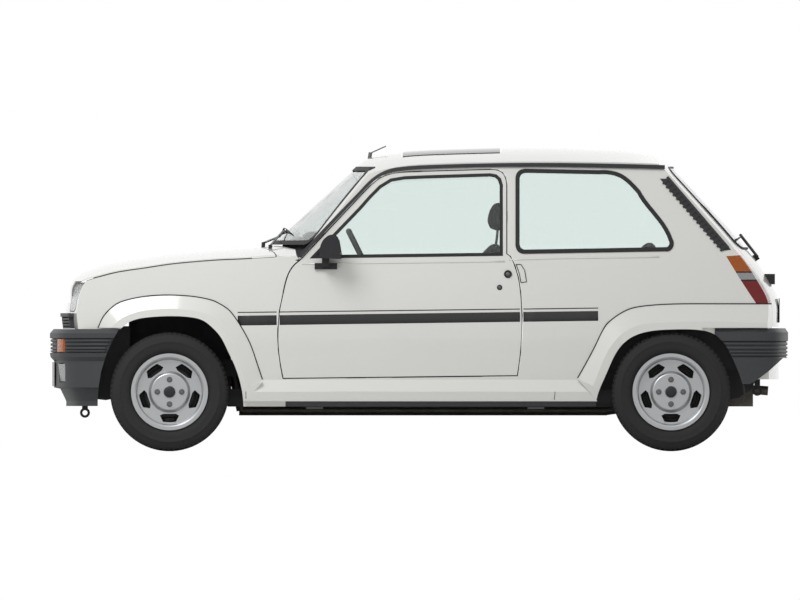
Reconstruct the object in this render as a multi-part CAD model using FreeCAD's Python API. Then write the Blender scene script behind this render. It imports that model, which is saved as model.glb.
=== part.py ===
import FreeCAD, Part
import math
import os

# A small three-door hatchback with wide plastic wheel arches.
# X runs from the nose (-) to the tail (+), -Y is the car's left side, Z is up from the ground.
# The origin is on the ground, at mid length and mid width. All sizes are in millimetres.

# Main sizes of the car
wheelbase = 2402
front_axle_x = -1195
rear_axle_x = front_axle_x + wheelbase
tyre_radius = 285
tyre_width = 175
track = 1372
rim_flange = 184
rim_barrel = 160
bead_half_width = 66
flange_wall = 9
tyre_facets = 60
body_half_width = 762
nose_x = -1768
tail_x = 1768

# Side surface: how the body draws in towards nose, tail, sill and roof
plan_front_x = -500
plan_front_length = 1200
nose_taper = 60
plan_rear_x = 500
plan_rear_length = 1230
tail_taper = 52
sill_bottom_z = 215
widest_z = 600
belt_z = 930
core_reach = 1600
sill_tuck = 30
shoulder_tuck = 26
window_slope = 0.29
slope_blend = 80

# Wall thicknesses and gaps
shut_gap = 6
wing_wall = 22
pillar_wall = 45
lower_wall = 100
door_skin = 12
door_frame_wall = 36
door_lower_wall = 98
door_step = 14
roof_wall = 26
bonnet_skin = 6
bonnet_wall = 24
bonnet_step = 48
tailgate_wall = 38
glass_wall = 5
seal_wall = 16
seal_width = 20

# Bonnet, windscreen, roof and tail, as seen along the car's centre line
bonnet_line = [(-1696, 697), (-1691, 720), (-1672, 773), (-1653, 814), (-1624, 847), (-1576, 868),
               (-1466, 900), (-1336, 920), (-1226, 937), (-1102, 950), (-944, 963), (-766, 975), (-690, 988),
               (-600, 1005)]
bonnet_crowns = [(-1691, 24), (-1600, 34), (-1466, 37), (-1100, 34), (-766, 36), (-600, 62)]
bonnet_rear_x = -766
screen_line = [(-812, 896), (-685, 1012), (-486, 1193), (-287, 1374), (-200, 1453)]
screen_crowns = [(-812, 118), (-685, 113), (-287, 62), (-200, 55)]
roof_line = [(-330, 1345), (-273, 1386), (-244, 1402), (-187, 1416), (-91, 1430), (53, 1440),
             (292, 1448), (532, 1453), (675, 1451), (867, 1444), (1059, 1430), (1170, 1408)]
roof_rear_x = 1150
rail_line = [(-330, 1300), (-273, 1318), (-244, 1330), (-187, 1345), (-91, 1363), (53, 1375),
             (292, 1382), (532, 1385), (675, 1385), (867, 1382), (1059, 1377), (1170, 1372)]
tail_line = [(1120, 1425), (1156, 1405), (1193, 1379), (1250, 1323), (1346, 1221), (1442, 1118),
             (1514, 1038), (1576, 964), (1643, 873), (1688, 797), (1712, 748), (1723, 700),
             (1724, 640), (1724, 550), (1724, 440), (1724, 330), (1724, 220), (1724, 110)]
tail_crowns = [(1120, 36), (1724, 36)]
crown_half = 620

# Door, seen from the side
door_front_line = [(-649, 352), (-661, 413), (-671, 485), (-673, 581), (-666, 672), (-647, 763),
                   (-618, 859), (-570, 912)]
door_pillar_line = [(-570, 912), (-283, 1218)]
door_bow_line = [(-283, 1218), (-235, 1268), (-187, 1307), (-139, 1326), (-70, 1335), (20, 1339)]
door_roof_line = [(20, 1339), (340, 1348)]
door_corner_line = [(340, 1348), (374, 1345), (398, 1333), (412, 1309), (418, 1276)]
door_post_line = [(418, 1276), (418, 945)]
door_rear_line = [(418, 945), (436, 931), (455, 892), (474, 830), (484, 763), (491, 650), (484, 476),
                  (469, 365)]
door_window_front = [(-508, 931), (-283, 1165)]
door_window_bow = [(-283, 1165), (-235, 1220), (-187, 1268), (-135, 1300), (-70, 1311), (20, 1315)]
door_window_roof = [(20, 1315), (340, 1325)]
door_window_corner = [(340, 1325), (368, 1320), (386, 1304), (395, 1275)]
door_window_post = [(395, 1275), (395, 943)]

# Quarter window behind the door, as the outer edge of its seal
quarter_front = [(462, 990), (462, 1305)]
quarter_top_corner = [(462, 1305), (472, 1338), (510, 1354)]
quarter_top = [(510, 1354), (867, 1347)]
quarter_bow = [(867, 1347), (929, 1343), (972, 1328), (1011, 1300), (1059, 1250)]
quarter_slope = [(1059, 1250), (1154, 1122), (1196, 1060), (1214, 1018)]
quarter_rear_corner = [(1214, 1018), (1220, 990), (1208, 966), (1180, 958)]
quarter_bottom = [(1180, 958), (510, 946)]
quarter_bottom_corner = [(510, 946), (476, 956), (462, 990)]

# Wheel arches, flares and their creases, measured from the axles
front_arch = [(-343, -90), (-338, 33), (-314, 143), (-271, 248), (-232, 303), (-199, 331), (-161, 347),
              (-94, 358), (2, 363), (98, 358), (160, 342), (203, 310), (242, 267), (275, 205),
              (309, 133), (338, 47), (354, -90)]
rear_arch = [(-360, -90), (-354, -25), (-311, 83), (-268, 178), (-230, 230), (-182, 265), (-110, 289),
             (10, 299), (129, 297), (206, 277), (264, 219), (311, 124), (338, 52), (345, -90)]
front_flare = [(-343, 306), (-319, 358), (-285, 397), (-237, 430), (-141, 454), (-31, 464), (98, 459),
               (194, 442), (242, 421), (290, 387), (338, 320), (385, 234), (419, 138), (445, 47)]
front_crease = [(-285, 300), (-271, 315), (-232, 349), (-190, 370), (-141, 385), (-31, 397),
                (70, 395), (122, 387), (199, 363), (251, 306), (299, 224), (338, 128), (360, 70),
                (376, 18)]
rear_flare = [(-450, 63), (-407, 138), (-364, 219), (-321, 306), (-287, 344), (-220, 388),
              (-148, 409), (10, 421), (244, 422), (520, 422)]
rear_crease = [(-374, 28), (-335, 124), (-287, 219), (-230, 282), (-182, 310), (-134, 323),
               (10, 333), (182, 337), (330, 333), (520, 330)]
flare_out = 30
skirt_top_z = 344
skirt_crease_z = 286
skirt_bottom_z = 240

# Jacking pads under the sills
jack_front_x = -500
jack_rear_x = 560

# Seats, steering and engine
wheel_rim_radius = 190
steering_centre = (-258, -330, 897)
steering_axis = (0.894, 0, 0.447)
seat_y = 330
shaft_radius = 10
running_clearance = 0.05

parts = {}


def point(x, y, z):
    return FreeCAD.Vector(x, y, z)


def smooth(points):
    """One smooth curve through 3-D points."""
    curve = Part.BSplineCurve()
    curve.interpolate(points)
    return curve.toShape()


def outline(runs, place):
    """A flat face inside runs of 2-D points: two points make a line, more make a smooth curve."""
    edges = []
    for run in runs:
        corners = [place(a, b) for a, b in run]
        if len(corners) == 2:
            edges.append(Part.LineSegment(corners[0], corners[1]).toShape())
        else:
            edges.append(smooth(corners))
    return Part.Face(Part.Wire(edges))


def closed(points):
    """Straight runs round a list of 2-D corners."""
    return [[points[i], points[(i + 1) % len(points)]] for i in range(len(points))]


def side_prism(runs, y_from=-1000, y_to=0):
    """What lies behind an outline drawn in side view, from one Y to another."""
    face = outline(runs, lambda a, b: point(a, y_from, b))
    return face.extrude(point(0, y_to - y_from, 0))


def front_prism(runs, x_from, x_to):
    """What lies behind an outline drawn in front view as (y, z) points."""
    face = outline(runs, lambda a, b: point(x_from, a, b))
    return face.extrude(point(x_to - x_from, 0, 0))


def plan_prism(runs, z_from, z_to):
    """What lies under an outline drawn in plan as (x, y) points."""
    face = outline(runs, lambda a, b: point(a, b, z_from))
    return face.extrude(point(0, 0, z_to - z_from))


def grown(runs, distance):
    """An outline moved out all round by a distance, or in where the distance is negative."""
    corners = [corner for run in runs for corner in run[:-1]]
    count = len(corners)
    area = sum(corners[i - 1][0] * corners[i][1] - corners[i][0] * corners[i - 1][1] for i in range(count))
    side = 1 if area > 0 else -1
    shifted = []
    for i in range(count):
        before = unit(corners[i - 1], corners[i])
        after = unit(corners[i], corners[(i + 1) % count])
        normal = (side * (before[1] + after[1]), -side * (before[0] + after[0]))
        stretch = 2 * distance / (normal[0] ** 2 + normal[1] ** 2)
        shifted.append((corners[i][0] + normal[0] * stretch, corners[i][1] + normal[1] * stretch))
    result = []
    first = 0
    for run in runs:
        result.append([shifted[(first + i) % count] for i in range(len(run))])
        first += len(run) - 1
    return result


def unit(start, end):
    run_a = end[0] - start[0]
    run_b = end[1] - start[1]
    length = math.hypot(run_a, run_b)
    return (run_a / length, run_b / length)


def grown_prism(runs, distance, y_from=-1000, y_to=0):
    return side_prism(grown(runs, distance), y_from, y_to)


def box(x_from, x_to, y_from, y_to, z_from, z_to):
    return Part.makeBox(x_to - x_from, y_to - y_from, z_to - z_from, point(x_from, y_from, z_from))


def tube(start, end, radius):
    """A round bar between two points."""
    way = end - start
    return Part.makeCylinder(radius, way.Length, start, way)


def cross_tube(x, y_from, y_to, z, radius):
    """A round bar lying across the car."""
    return tube(point(x, y_from, z), point(x, y_to, z), radius)


def mirrored(shape):
    """The same piece on the car's right side."""
    return shape.mirror(point(0, 0, 0), point(0, 1, 0))


def both_sides(shape):
    """A left piece and its right twin, as two solids."""
    return Part.makeCompound(solids_of(shape) + solids_of(mirrored(shape)))


def solids_of(shape):
    return [solid for solid in shape.Solids if solid.Volume > 1.0]


def main_solid(shape):
    """The largest solid of a shape."""
    return max(shape.Solids, key=lambda solid: solid.Volume)


def joined(shapes):
    """Touching pieces made one."""
    whole = shapes[0]
    for shape in shapes[1:]:
        whole = whole.fuse(shape)
    return whole.removeSplitter()


def cut_all(shape, others):
    """A shape less every solid of some others."""
    for other in others:
        for solid in other.Solids:
            shape = shape.cut(solid)
    return shape


def moved(points, dx, dz):
    return [(x + dx, z + dz) for x, z in points]


def half_width(x, z):
    """Distance from the car's centre plane to its side surface."""
    front = max(0.0, (plan_front_x - x) / plan_front_length)
    rear = max(0.0, (x - plan_rear_x) / plan_rear_length)
    width = body_half_width - nose_taper * front ** 2 - tail_taper * rear ** 2
    if z < widest_z:
        return width - sill_tuck * ((widest_z - z) / (widest_z - sill_bottom_z)) ** 3
    if z < belt_z:
        return width - shoulder_tuck * ((z - widest_z) / (belt_z - widest_z)) ** 2
    rise = z - belt_z
    belt_slope = 2 * shoulder_tuck / (belt_z - widest_z)
    turned = rise ** 2 / (2 * slope_blend) if rise < slope_blend else rise - slope_blend / 2
    return width - shoulder_tuck - belt_slope * rise - (window_slope - belt_slope) * turned


def surface_face(rows):
    surface = Part.BSplineSurface()
    surface.interpolate(rows)
    return surface.toShape()


side_stations = [-1850, -1600, -1350, -1100, -850, -600, -300, 0, 300, 600, 850, 1100, 1350, 1600, 1850]
side_levels = [150, 260, 380, 500, 600, 700, 800, 880, 940, 1000, 1060, 1160, 1270, 1390, 1520]


def side_slab(depth_from, depth_to):
    """A layer of the left side, between two depths in from its outer surface."""
    rows = [[point(x, depth_from - half_width(x, z), z) for z in side_levels] for x in side_stations]
    return surface_face(rows).extrude(point(0, depth_to - depth_from, 0))


def evenly(points, count):
    """Points spread evenly along a smooth curve through side-view points."""
    curve = Part.BSplineCurve()
    curve.interpolate([point(x, 0, z) for x, z in points])
    return [(p.x, p.z) for p in curve.toShape().discretize(count)]


def blend(value, table):
    """A value read from (at, value) pairs by straight lines between them."""
    for (low, low_value), (high, high_value) in zip(table, table[1:]):
        if value <= high or (high, high_value) == table[-1]:
            share = min(max((value - low) / (high - low), 0.0), 1.0)
            return low_value + share * (high_value - low_value)


def crowned_rows(line, crowns, half, power, stations, count):
    """Points of a sheet that runs along a centre line and curves in towards both sides."""
    line = evenly(line, count)
    rows = []
    for i, (x, z) in enumerate(line):
        before = line[max(i - 1, 0)]
        after = line[min(i + 1, len(line) - 1)]
        run_x = after[0] - before[0]
        run_z = after[1] - before[1]
        length = math.hypot(run_x, run_z)
        row = []
        for y in stations:
            drop = blend(x, crowns) * (abs(y) / half) ** power
            row.append(point(x + drop * run_z / length, y, z - drop * run_x / length))
        rows.append(row)
    return rows


sheet_rows = 16
wide_stations = [-800, -700, -620, -500, -350, -180, 0, 180, 350, 500, 620, 700, 800]


def crowned_sheet(line, crowns, half, power, way, depth_from, depth_to):
    """A crowned sheet between two depths, measured along a way that points into the car."""
    face = surface_face(crowned_rows(line, crowns, half, power, wide_stations, sheet_rows))
    face.translate(way * depth_from)
    return face.extrude(way * (depth_to - depth_from))


bonnet_way = point(0.55, 0, -0.84)
screen_way = point(0.673, 0, -0.740)
tail_way = point(-0.85, 0, -0.53)


def bonnet_sheet(depth_from, depth_to):
    return crowned_sheet(bonnet_line, bonnet_crowns, crown_half + 90, 2.4, bonnet_way, depth_from, depth_to)


def screen_sheet(depth_from, depth_to):
    return crowned_sheet(screen_line, screen_crowns, crown_half, 2.0, screen_way, depth_from, depth_to)


def tail_sheet(depth_from, depth_to):
    return crowned_sheet(tail_line, tail_crowns, crown_half, 2.2, tail_way, depth_from, depth_to)


def roof_sheet(depth_from, depth_to):
    """The roof: high along the middle, falling to the rail line at both sides."""
    rows = []
    for (x, z), rail_z in zip(roof_line, [z for x, z in rail_line]):
        rows.append([point(x, y, z - (z - rail_z) * (abs(y) / crown_half) ** 2.6) for y in wide_stations])
    face = surface_face(rows)
    face.translate(point(0, 0, -depth_from))
    return face.extrude(point(0, 0, depth_from - depth_to))


# Outlines that several pieces share
door_outline = [door_front_line, door_pillar_line, door_bow_line, door_roof_line, door_corner_line,
                door_post_line, door_rear_line, [door_rear_line[-1], door_front_line[0]]]
door_window = [door_window_front, door_window_bow, door_window_roof, door_window_corner, door_window_post,
               [door_window_post[-1], door_window_front[0]]]
quarter_outline = [quarter_front, quarter_top_corner, quarter_top, quarter_bow, quarter_slope,
                   quarter_rear_corner, quarter_bottom, quarter_bottom_corner]
front_arch_curve = moved(front_arch, front_axle_x, tyre_radius)
rear_arch_curve = moved(rear_arch, rear_axle_x, tyre_radius)
front_arch_outline = [front_arch_curve, [front_arch_curve[-1], front_arch_curve[0]]]
rear_arch_outline = [rear_arch_curve, [rear_arch_curve[-1], rear_arch_curve[0]]]

# The whole body inside its side surfaces
core = side_slab(0, core_reach)
body_core = core.common(mirrored(core))
in_front_of_screen = screen_sheet(-420, 0)
beyond_tail = tail_sheet(-420, 0)

# Tailgate edge in front view, half of it: y and z
tailgate_top_y = 532
tailgate_belt_y = 598
tailgate_bottom_y = 590
tailgate_bottom_z = 597


def gate_outline(grow):
    """The tailgate's edge in front view, grown by a gap."""
    top = tailgate_top_y + grow
    belt = tailgate_belt_y + grow
    low = tailgate_bottom_y + grow
    foot = tailgate_bottom_z - grow
    return closed([(-low, foot), (low, foot), (belt, belt_z + 30), (top, 1460), (-top, 1460),
                   (-belt, belt_z + 30)])


def body_side_left():
    """Posts, roof rail, quarter panel and sill of the left side in one pressing."""
    top = [(x, z - 1) for x, z in reversed(rail_line[3:])]
    silhouette = closed([(-770, sill_bottom_z), (1760, sill_bottom_z), (1760, 900), (1240, 1372)] + top
                        + [(-262, 1316), (-640, 1000), (-640, 905), (-770, 880)])
    thin = side_slab(0, pillar_wall).common(side_prism(silhouette))
    low_zone = closed([(-770, sill_bottom_z), (1760, sill_bottom_z), (1760, belt_z), (-640, belt_z),
                       (-640, 905), (-770, 880)])
    thick = side_slab(pillar_wall - 1, lower_wall).common(side_prism(low_zone))
    corner = tail_sheet(0, 70).common(body_core).common(box(1150, 1800, -760, 0, 345, 1425))
    corner = corner.cut(front_prism(gate_outline(shut_gap), 1000, 1900))
    corner = corner.cut(box(1150, 1900, -tailgate_bottom_y - shut_gap, 0, 0, tailgate_bottom_z))
    jack_pads = [box(x - 40, x + 40, -710, -670, sill_bottom_z - 12, sill_bottom_z + 5)
                 for x in (jack_front_x, jack_rear_x)]
    side = joined([thin, thick, corner] + jack_pads)
    side = side.cut(grown_prism(door_outline, shut_gap))
    side = side.cut(side_prism(front_arch_outline)).cut(side_prism(rear_arch_outline))
    side = side.cut(box(1480, 1900, -800, 0, 150, 345))
    side = side.cut(box(-900, -640, -800, -600, 150, 1000).common(side_slab(-50, wing_wall)))
    side = side.cut(beyond_tail).cut(in_front_of_screen)
    side = side.cut(side_slab(-50, seal_wall).common(side_prism(quarter_outline)))
    side = side.cut(grown_prism(quarter_outline, -seal_width))
    side = side.cut(roof).cut(screen_seat).cut(tail_lamp_left)
    return side.cut(box(-900, -640, -800, 0, 880, 1100).common(bonnet_sheet(-400, bonnet_wall)))


def screen_edge(inset):
    """The windscreen's edge in front view, drawn in by an inset."""
    foot = 990 + inset
    top = 1366 - inset
    low_y = 672 - inset
    high_y = 578 - inset
    corner = 60
    return [[(-low_y + corner, foot), (low_y - corner, foot)],
            [(low_y - corner, foot), (low_y - 12, foot + 14), (low_y - 8, foot + corner)],
            [(low_y - 8, foot + corner), (high_y + 6, top - corner)],
            [(high_y + 6, top - corner), (high_y - 8, top - 18), (high_y - corner, top - 2)],
            [(high_y - corner, top - 2), (-high_y + corner, top - 2)],
            [(-high_y + corner, top - 2), (-high_y + 8, top - 18), (-high_y - 6, top - corner)],
            [(-high_y - 6, top - corner), (-low_y + 8, foot + corner)],
            [(-low_y + 8, foot + corner), (-low_y + 12, foot + 14), (-low_y + corner, foot)]]


def gate_glass_edge(inset):
    """The rear window's edge in front view, drawn in by an inset."""
    foot = 978 + inset
    top = 1352 - inset
    low_y = 545 - inset
    high_y = 470 - inset
    corner = 55
    return [[(-low_y + corner, foot), (low_y - corner, foot)],
            [(low_y - corner, foot), (low_y - 12, foot + 14), (low_y - 8, foot + corner)],
            [(low_y - 8, foot + corner), (high_y + 6, top - corner)],
            [(high_y + 6, top - corner), (high_y - 8, top - 16), (high_y - corner, top - 2)],
            [(high_y - corner, top - 2), (-high_y + corner, top - 2)],
            [(-high_y + corner, top - 2), (-high_y + 8, top - 16), (-high_y - 6, top - corner)],
            [(-high_y - 6, top - corner), (-low_y + 8, foot + corner)],
            [(-low_y + 8, foot + corner), (-low_y + 12, foot + 14), (-low_y + corner, foot)]]


# Windscreen with its rubber, and the seat they leave in roof, posts and scuttle
screen_room = front_prism(screen_edge(0), -900, -100)
screen_opening = front_prism(screen_edge(seal_width), -900, -100)
screen_seat = screen_sheet(-2, seal_wall).common(screen_room)
screen_seal = screen_seat.cut(screen_opening)
screen_glass = screen_sheet(3, 3 + glass_wall).common(screen_opening)

# Sunroof: an opening in the roof and the tilting panel in it
sunroof_front_x = -78
sunroof_rear_x = 388
sunroof_half_y = 400
sunroof_gap = 7


def roof_panel():
    sheet = roof_sheet(0, roof_wall).common(body_core)
    sheet = sheet.common(box(-320, roof_rear_x, -700, 700, 1200, 1500))
    sheet = sheet.cut(in_front_of_screen).cut(screen_seat)
    sheet = sheet.cut(front_prism(screen_edge(seal_width), -600, -214))
    return sheet.cut(box(sunroof_front_x - sunroof_gap, sunroof_rear_x + sunroof_gap,
                         -sunroof_half_y - sunroof_gap, sunroof_half_y + sunroof_gap, 1300, 1500))


roof = roof_panel()
parts["roof"] = roof
parts["sunroof"] = roof_sheet(-3, 15).common(box(sunroof_front_x, sunroof_rear_x, -sunroof_half_y,
                                                 sunroof_half_y, 1300, 1500))

# Tail lamps on the rear corners
lamp_outline = closed([(1471, 935), (1542, 940), (1700, 735), (1700, 703), (1619, 703), (1585, 753),
                       (1538, 825)])
tail_lamp_left = body_core.common(side_prism(lamp_outline, -1000, -(tailgate_belt_y + shut_gap + 16)))
tail_lamp_left = tail_lamp_left.cut(beyond_tail)
parts["tail_lamps"] = both_sides(tail_lamp_left)

body_side = body_side_left()
parts["body_side_left"] = body_side
parts["body_side_right"] = mirrored(body_side)

# Quarter windows
quarter_seal = side_slab(-3, seal_wall).common(side_prism(quarter_outline))
quarter_seal = quarter_seal.cut(grown_prism(quarter_outline, -seal_width))
quarter_glass = side_slab(3, 3 + glass_wall).common(grown_prism(quarter_outline, -seal_width))
parts["fixed_glass"] = Part.makeCompound(solids_of(screen_glass) + solids_of(both_sides(quarter_glass)))
parts["window_seals"] = Part.makeCompound(solids_of(screen_seal) + solids_of(both_sides(quarter_seal)))


# Drip rails along the edge of the roof and down the windscreen posts
rail_top = [(-580, 936), (-331, 1199), (-283, 1249), (-235, 1299), (-187, 1333), (-139, 1353),
            (-91, 1362), (53, 1372), (292, 1379), (532, 1382), (867, 1379), (1178, 1371)]
rail_low = [(1178, 1352), (867, 1359), (532, 1363), (292, 1361), (53, 1354), (-80, 1345), (-130, 1337),
            (-180, 1319), (-225, 1287), (-272, 1239), (-320, 1189), (-566, 926)]
rail_band = [rail_top, [rail_top[-1], rail_low[0]], rail_low, [rail_low[-1], rail_top[0]]]
drip_rail = side_slab(-10, 0).common(side_prism(rail_band))
parts["drip_rails"] = both_sides(drip_rail)


def door_left():
    """The door: outer skin, inner box stepped in all round, window cut."""
    skin = side_slab(0, door_skin).common(side_prism(door_outline))
    inner_outline = grown_prism(door_outline, -door_step)
    frame = side_slab(door_skin, door_frame_wall).common(inner_outline)
    low = side_slab(door_skin, door_lower_wall).common(inner_outline)
    low = low.common(box(-800, 600, -800, 0, 300, belt_z + 5))
    return joined([skin, frame, low]).cut(side_prism(door_window))


door = door_left()
parts["door_left"] = door
parts["door_right"] = mirrored(door)
door_glass = side_slab(door_skin, door_skin + glass_wall).common(side_prism(door_window))
parts["door_glass_left"] = door_glass
parts["door_glass_right"] = mirrored(door_glass)

# Front wings
shut_line = [(-686, 944), (-781, 938), (-944, 926), (-1102, 910), (-1226, 896), (-1336, 878),
             (-1456, 859), (-1577, 831)]
headlamp_edge = [(-1577, 831), (-1596, 812), (-1629, 725), (-1643, 677), (-1667, 655)]
bonnet_gap = 6
wing_outline = [shut_line, headlamp_edge, [headlamp_edge[-1], (-1665, 580)], [(-1665, 580), (-1520, 215)],
                [(-1520, 215), (-640, 215)], [(-640, 215), (-560, 905)], [(-560, 905), (-686, 944)]]
wing = side_slab(0, wing_wall).common(side_prism(wing_outline))
wing = wing.cut(grown_prism(door_outline, shut_gap)).cut(side_prism(front_arch_outline))
wing = wing.cut(box(-1800, front_axle_x - 100, -900, 0, 0, 586))
wing = wing.cut(bonnet_sheet(-400, bonnet_skin + bonnet_gap).common(box(-1900, -682, -900, 0, 700, 1200)))
wing = main_solid(wing).cut(body_side)
wing = main_solid(wing)
parts["front_wings"] = both_sides(wing)

# Bonnet, split from the headlamps and the scuttle
bonnet_lip_z = 720
lamp_inner_y = 430
grille_half_y = 600
grille_top_z = 646
over_lamp_z = 815
bonnet_room = plan_prism([[(-1800, -900), (-1800, 900)], [(-1800, 900), (-686, 900)],
                          [(-686, 900), (-690, 700), (-735, 400), (bonnet_rear_x, 0), (-735, -400),
                           (-690, -700), (-686, -900)], [(-686, -900), (-1800, -900)]], 600, 1200)
front_face = closed([(-900, over_lamp_z), (-lamp_inner_y + 6, over_lamp_z), (-lamp_inner_y + 6, bonnet_lip_z),
                     (lamp_inner_y - 6, bonnet_lip_z), (lamp_inner_y - 6, over_lamp_z),
                     (900, over_lamp_z), (900, 1200), (-900, 1200)])
bonnet_space = body_core.common(bonnet_room).common(front_prism(front_face, -1800, -600))
bonnet = bonnet_sheet(0, bonnet_skin).common(bonnet_space)
inner_core = side_slab(bonnet_step, 1400)
inner_core = inner_core.common(mirrored(inner_core))
inner_room = box(-1560, -800, -900, 900, 700, 1200).fuse(box(-1690, -1559, -lamp_inner_y + 20,
                                                             lamp_inner_y - 20, bonnet_lip_z + 12, 1200))
bonnet_inner = bonnet_sheet(bonnet_skin, bonnet_wall).common(inner_core).common(inner_room)
parts["bonnet"] = joined([bonnet, bonnet_inner])

# Scuttle and bulkhead behind the engine
scuttle_room = body_core.common(in_front_of_screen).cut(bonnet_room)
bonnet_and_gap = bonnet_room.copy()
bonnet_and_gap.translate(point(shut_gap, 0, 0))
scuttle = bonnet_sheet(0, 20).common(scuttle_room).cut(bonnet_and_gap).cut(screen_seat)
scuttle = scuttle.cut(box(-900, -500, -900, 900, 0, 916))
side_panels = [parts["body_side_left"], parts["body_side_right"], parts["front_wings"]]
scuttle = cut_all(scuttle, side_panels)
bulkhead_plate = cut_all(box(-690, -678, -700, 700, 330, 905), side_panels)
bulkhead_web = box(-690, -672, -560, 560, 900, 1010).cut(bonnet_sheet(-400, 20)).cut(screen_sheet(-2, 300))
parts["bulkhead"] = joined([bulkhead_plate, bulkhead_web, scuttle])

# Nose panel with headlamp openings
nose_line = [(-1680, 560), (-1686, 610), (-1690, 660), (-1684, 710), (-1670, 765), (-1650, 812),
             (-1640, 830)]
nose_crowns = [(-1692, 46), (-1640, 46)]
nose_way = point(1, 0, 0)


def nose_sheet(depth_from, depth_to):
    return crowned_sheet(nose_line, nose_crowns, crown_half + 60, 2.4, nose_way, depth_from, depth_to)


ahead_of_nose = nose_sheet(-200, 0).common(box(-1900, -1600, -900, 900, 560, 700))
wing = main_solid(wing.cut(ahead_of_nose))
parts["front_wings"] = both_sides(wing)


def lamp_edge(inset):
    """A headlamp's edge in front view on the left side, drawn in by an inset."""
    low = 668 + inset
    top = 806 - inset
    inner = -lamp_inner_y - 8 - inset
    outer = -(668 - inset)
    corner = 22
    return [[(outer + corner, low), (inner - corner, low)],
            [(inner - corner, low), (inner - 5, low + 5), (inner, low + corner)],
            [(inner, low + corner), (inner, top - corner)],
            [(inner, top - corner), (inner - 5, top - 5), (inner - corner, top)],
            [(inner - corner, top), (outer + corner, top)],
            [(outer + corner, top), (outer + 5, top - 5), (outer, top - corner)],
            [(outer, top - corner), (outer, low + corner)],
            [(outer, low + corner), (outer + 5, low + 5), (outer + corner, low)]]


nose_face = closed([(-720, 586), (720, 586), (720, 809), (lamp_inner_y, 809), (lamp_inner_y, 713),
                    (-lamp_inner_y, 713), (-lamp_inner_y, 809), (-720, 809)])
nose_panel = nose_sheet(0, 22).common(front_prism(nose_face, -1800, -1500)).common(body_core)
lamp_hole = front_prism(lamp_edge(0), -1800, -1400)
nose_panel = nose_panel.cut(lamp_hole).cut(mirrored(lamp_hole))
nose_panel = nose_panel.cut(box(-1800, -1500, -grille_half_y, grille_half_y, 580, grille_top_z))
nose_panel = main_solid(cut_all(nose_panel, [parts["front_wings"]]))
parts["nose_panel"] = nose_panel

lens = nose_sheet(-1, 9).common(lamp_hole)
bowl = front_prism(lamp_edge(8), -1660, -1560).cut(nose_sheet(-200, 9))
headlamp = lens.fuse(bowl).cut(wing)
headlamp = main_solid(headlamp)
parts["headlamps"] = both_sides(headlamp)


def bumper_sweep(path_points, section):
    """A section of (depth inwards, z) points carried round a bumper's plan line."""
    path = Part.Wire([smooth([point(x, y, 0) for x, y in path_points])])
    x, y = path_points[0]
    tangent = path.Edges[0].tangentAt(path.Edges[0].FirstParameter)
    inward = point(0, 0, 1).cross(tangent)
    middle_y = path_points[len(path_points) // 2][1]
    if inward.y * (middle_y - y) < 0:
        inward = inward * -1
    corners = [point(x, y, z) + inward * depth for depth, z in section]
    profile = Part.makePolygon(corners + [corners[0]])
    pipe = Part.BRepOffsetAPI.MakePipeShell(path)
    pipe.setBiNormalMode(point(0, 0, 1))
    pipe.add(profile)
    pipe.build()
    pipe.makeSolid()
    return pipe.shape()


def bumper_path(end_x, tip_x, out, corner_back, corner_y, shoulder_back, shoulder_y):
    """Half the plan line of a bumper, mirrored to a whole one."""
    step = 1 if tip_x > end_x else -1
    turn_x = tip_x - step * 150
    half = [(end_x, -half_width(end_x, widest_z) - out),
            (turn_x, -half_width(turn_x, widest_z) - out + 3),
            (tip_x - step * corner_back, -corner_y), (tip_x - step * shoulder_back, -shoulder_y),
            (tip_x - step * 10, -270)]
    return half + [(tip_x, 0)] + [(x, -y) for x, y in reversed(half)]


bumper_out = 26
front_section = [(18, 586), (0, 566), (0, 543), (12, 540), (12, 474), (0, 471), (3, 452), (20, 433),
                 (20, 306), (50, 300), (78, 241), (78, 217), (92, 217), (92, 250), (60, 315),
                 (60, 586)]
front_bumper_side = closed([(-1437, 586), (-1800, 586), (-1800, 217), (-1538, 217), (-1533, 318),
                            (-1523, 380), (-1509, 428), (-1490, 476), (-1466, 533)])
front_path = bumper_path(-1400, nose_x, bumper_out, 78, 666, 32, 520)
front_bumper = bumper_sweep(front_path, front_section)
front_bumper = front_bumper.common(side_prism(front_bumper_side, -1000, 1000))
front_bumper = front_bumper.cut(side_prism(front_arch_outline, -1000, 1000))
parts["front_bumper"] = main_solid(front_bumper)

rear_section = [(14, 590), (0, 570), (0, 530), (10, 524), (10, 455), (2, 447), (10, 322), (60, 322),
                (60, 590)]
rear_bumper_side = closed([(1418, 590), (1800, 590), (1800, 447), (1744, 447), (1681, 389),
                           (1619, 342), (1585, 322), (1400, 322)])
rear_bumper = bumper_sweep(bumper_path(1370, tail_x, bumper_out, 68, 712, 26, 600), rear_section)
rear_bumper = rear_bumper.common(side_prism(rear_bumper_side, -1000, 1000))
rear_bumper = rear_bumper.cut(side_prism(rear_arch_outline, -1000, 1000))

# Tail panel between the bumper and the tailgate
tail_panel = tail_sheet(0, 30).common(box(1500, 1800, -750, 750, 345, tailgate_bottom_z - shut_gap))
tail_panel = tail_panel.common(body_core)
tail_core = body_core.common(box(1300, 1900, -900, 900, 250, 650)).cut(beyond_tail)
rear_bumper = rear_bumper.cut(tail_core)
parts["rear_bumper"] = main_solid(rear_bumper)
tail_panel = main_solid(cut_all(tail_panel, [parts["body_side_left"], parts["body_side_right"]]))
parts["tail_panel"] = tail_panel


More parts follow.
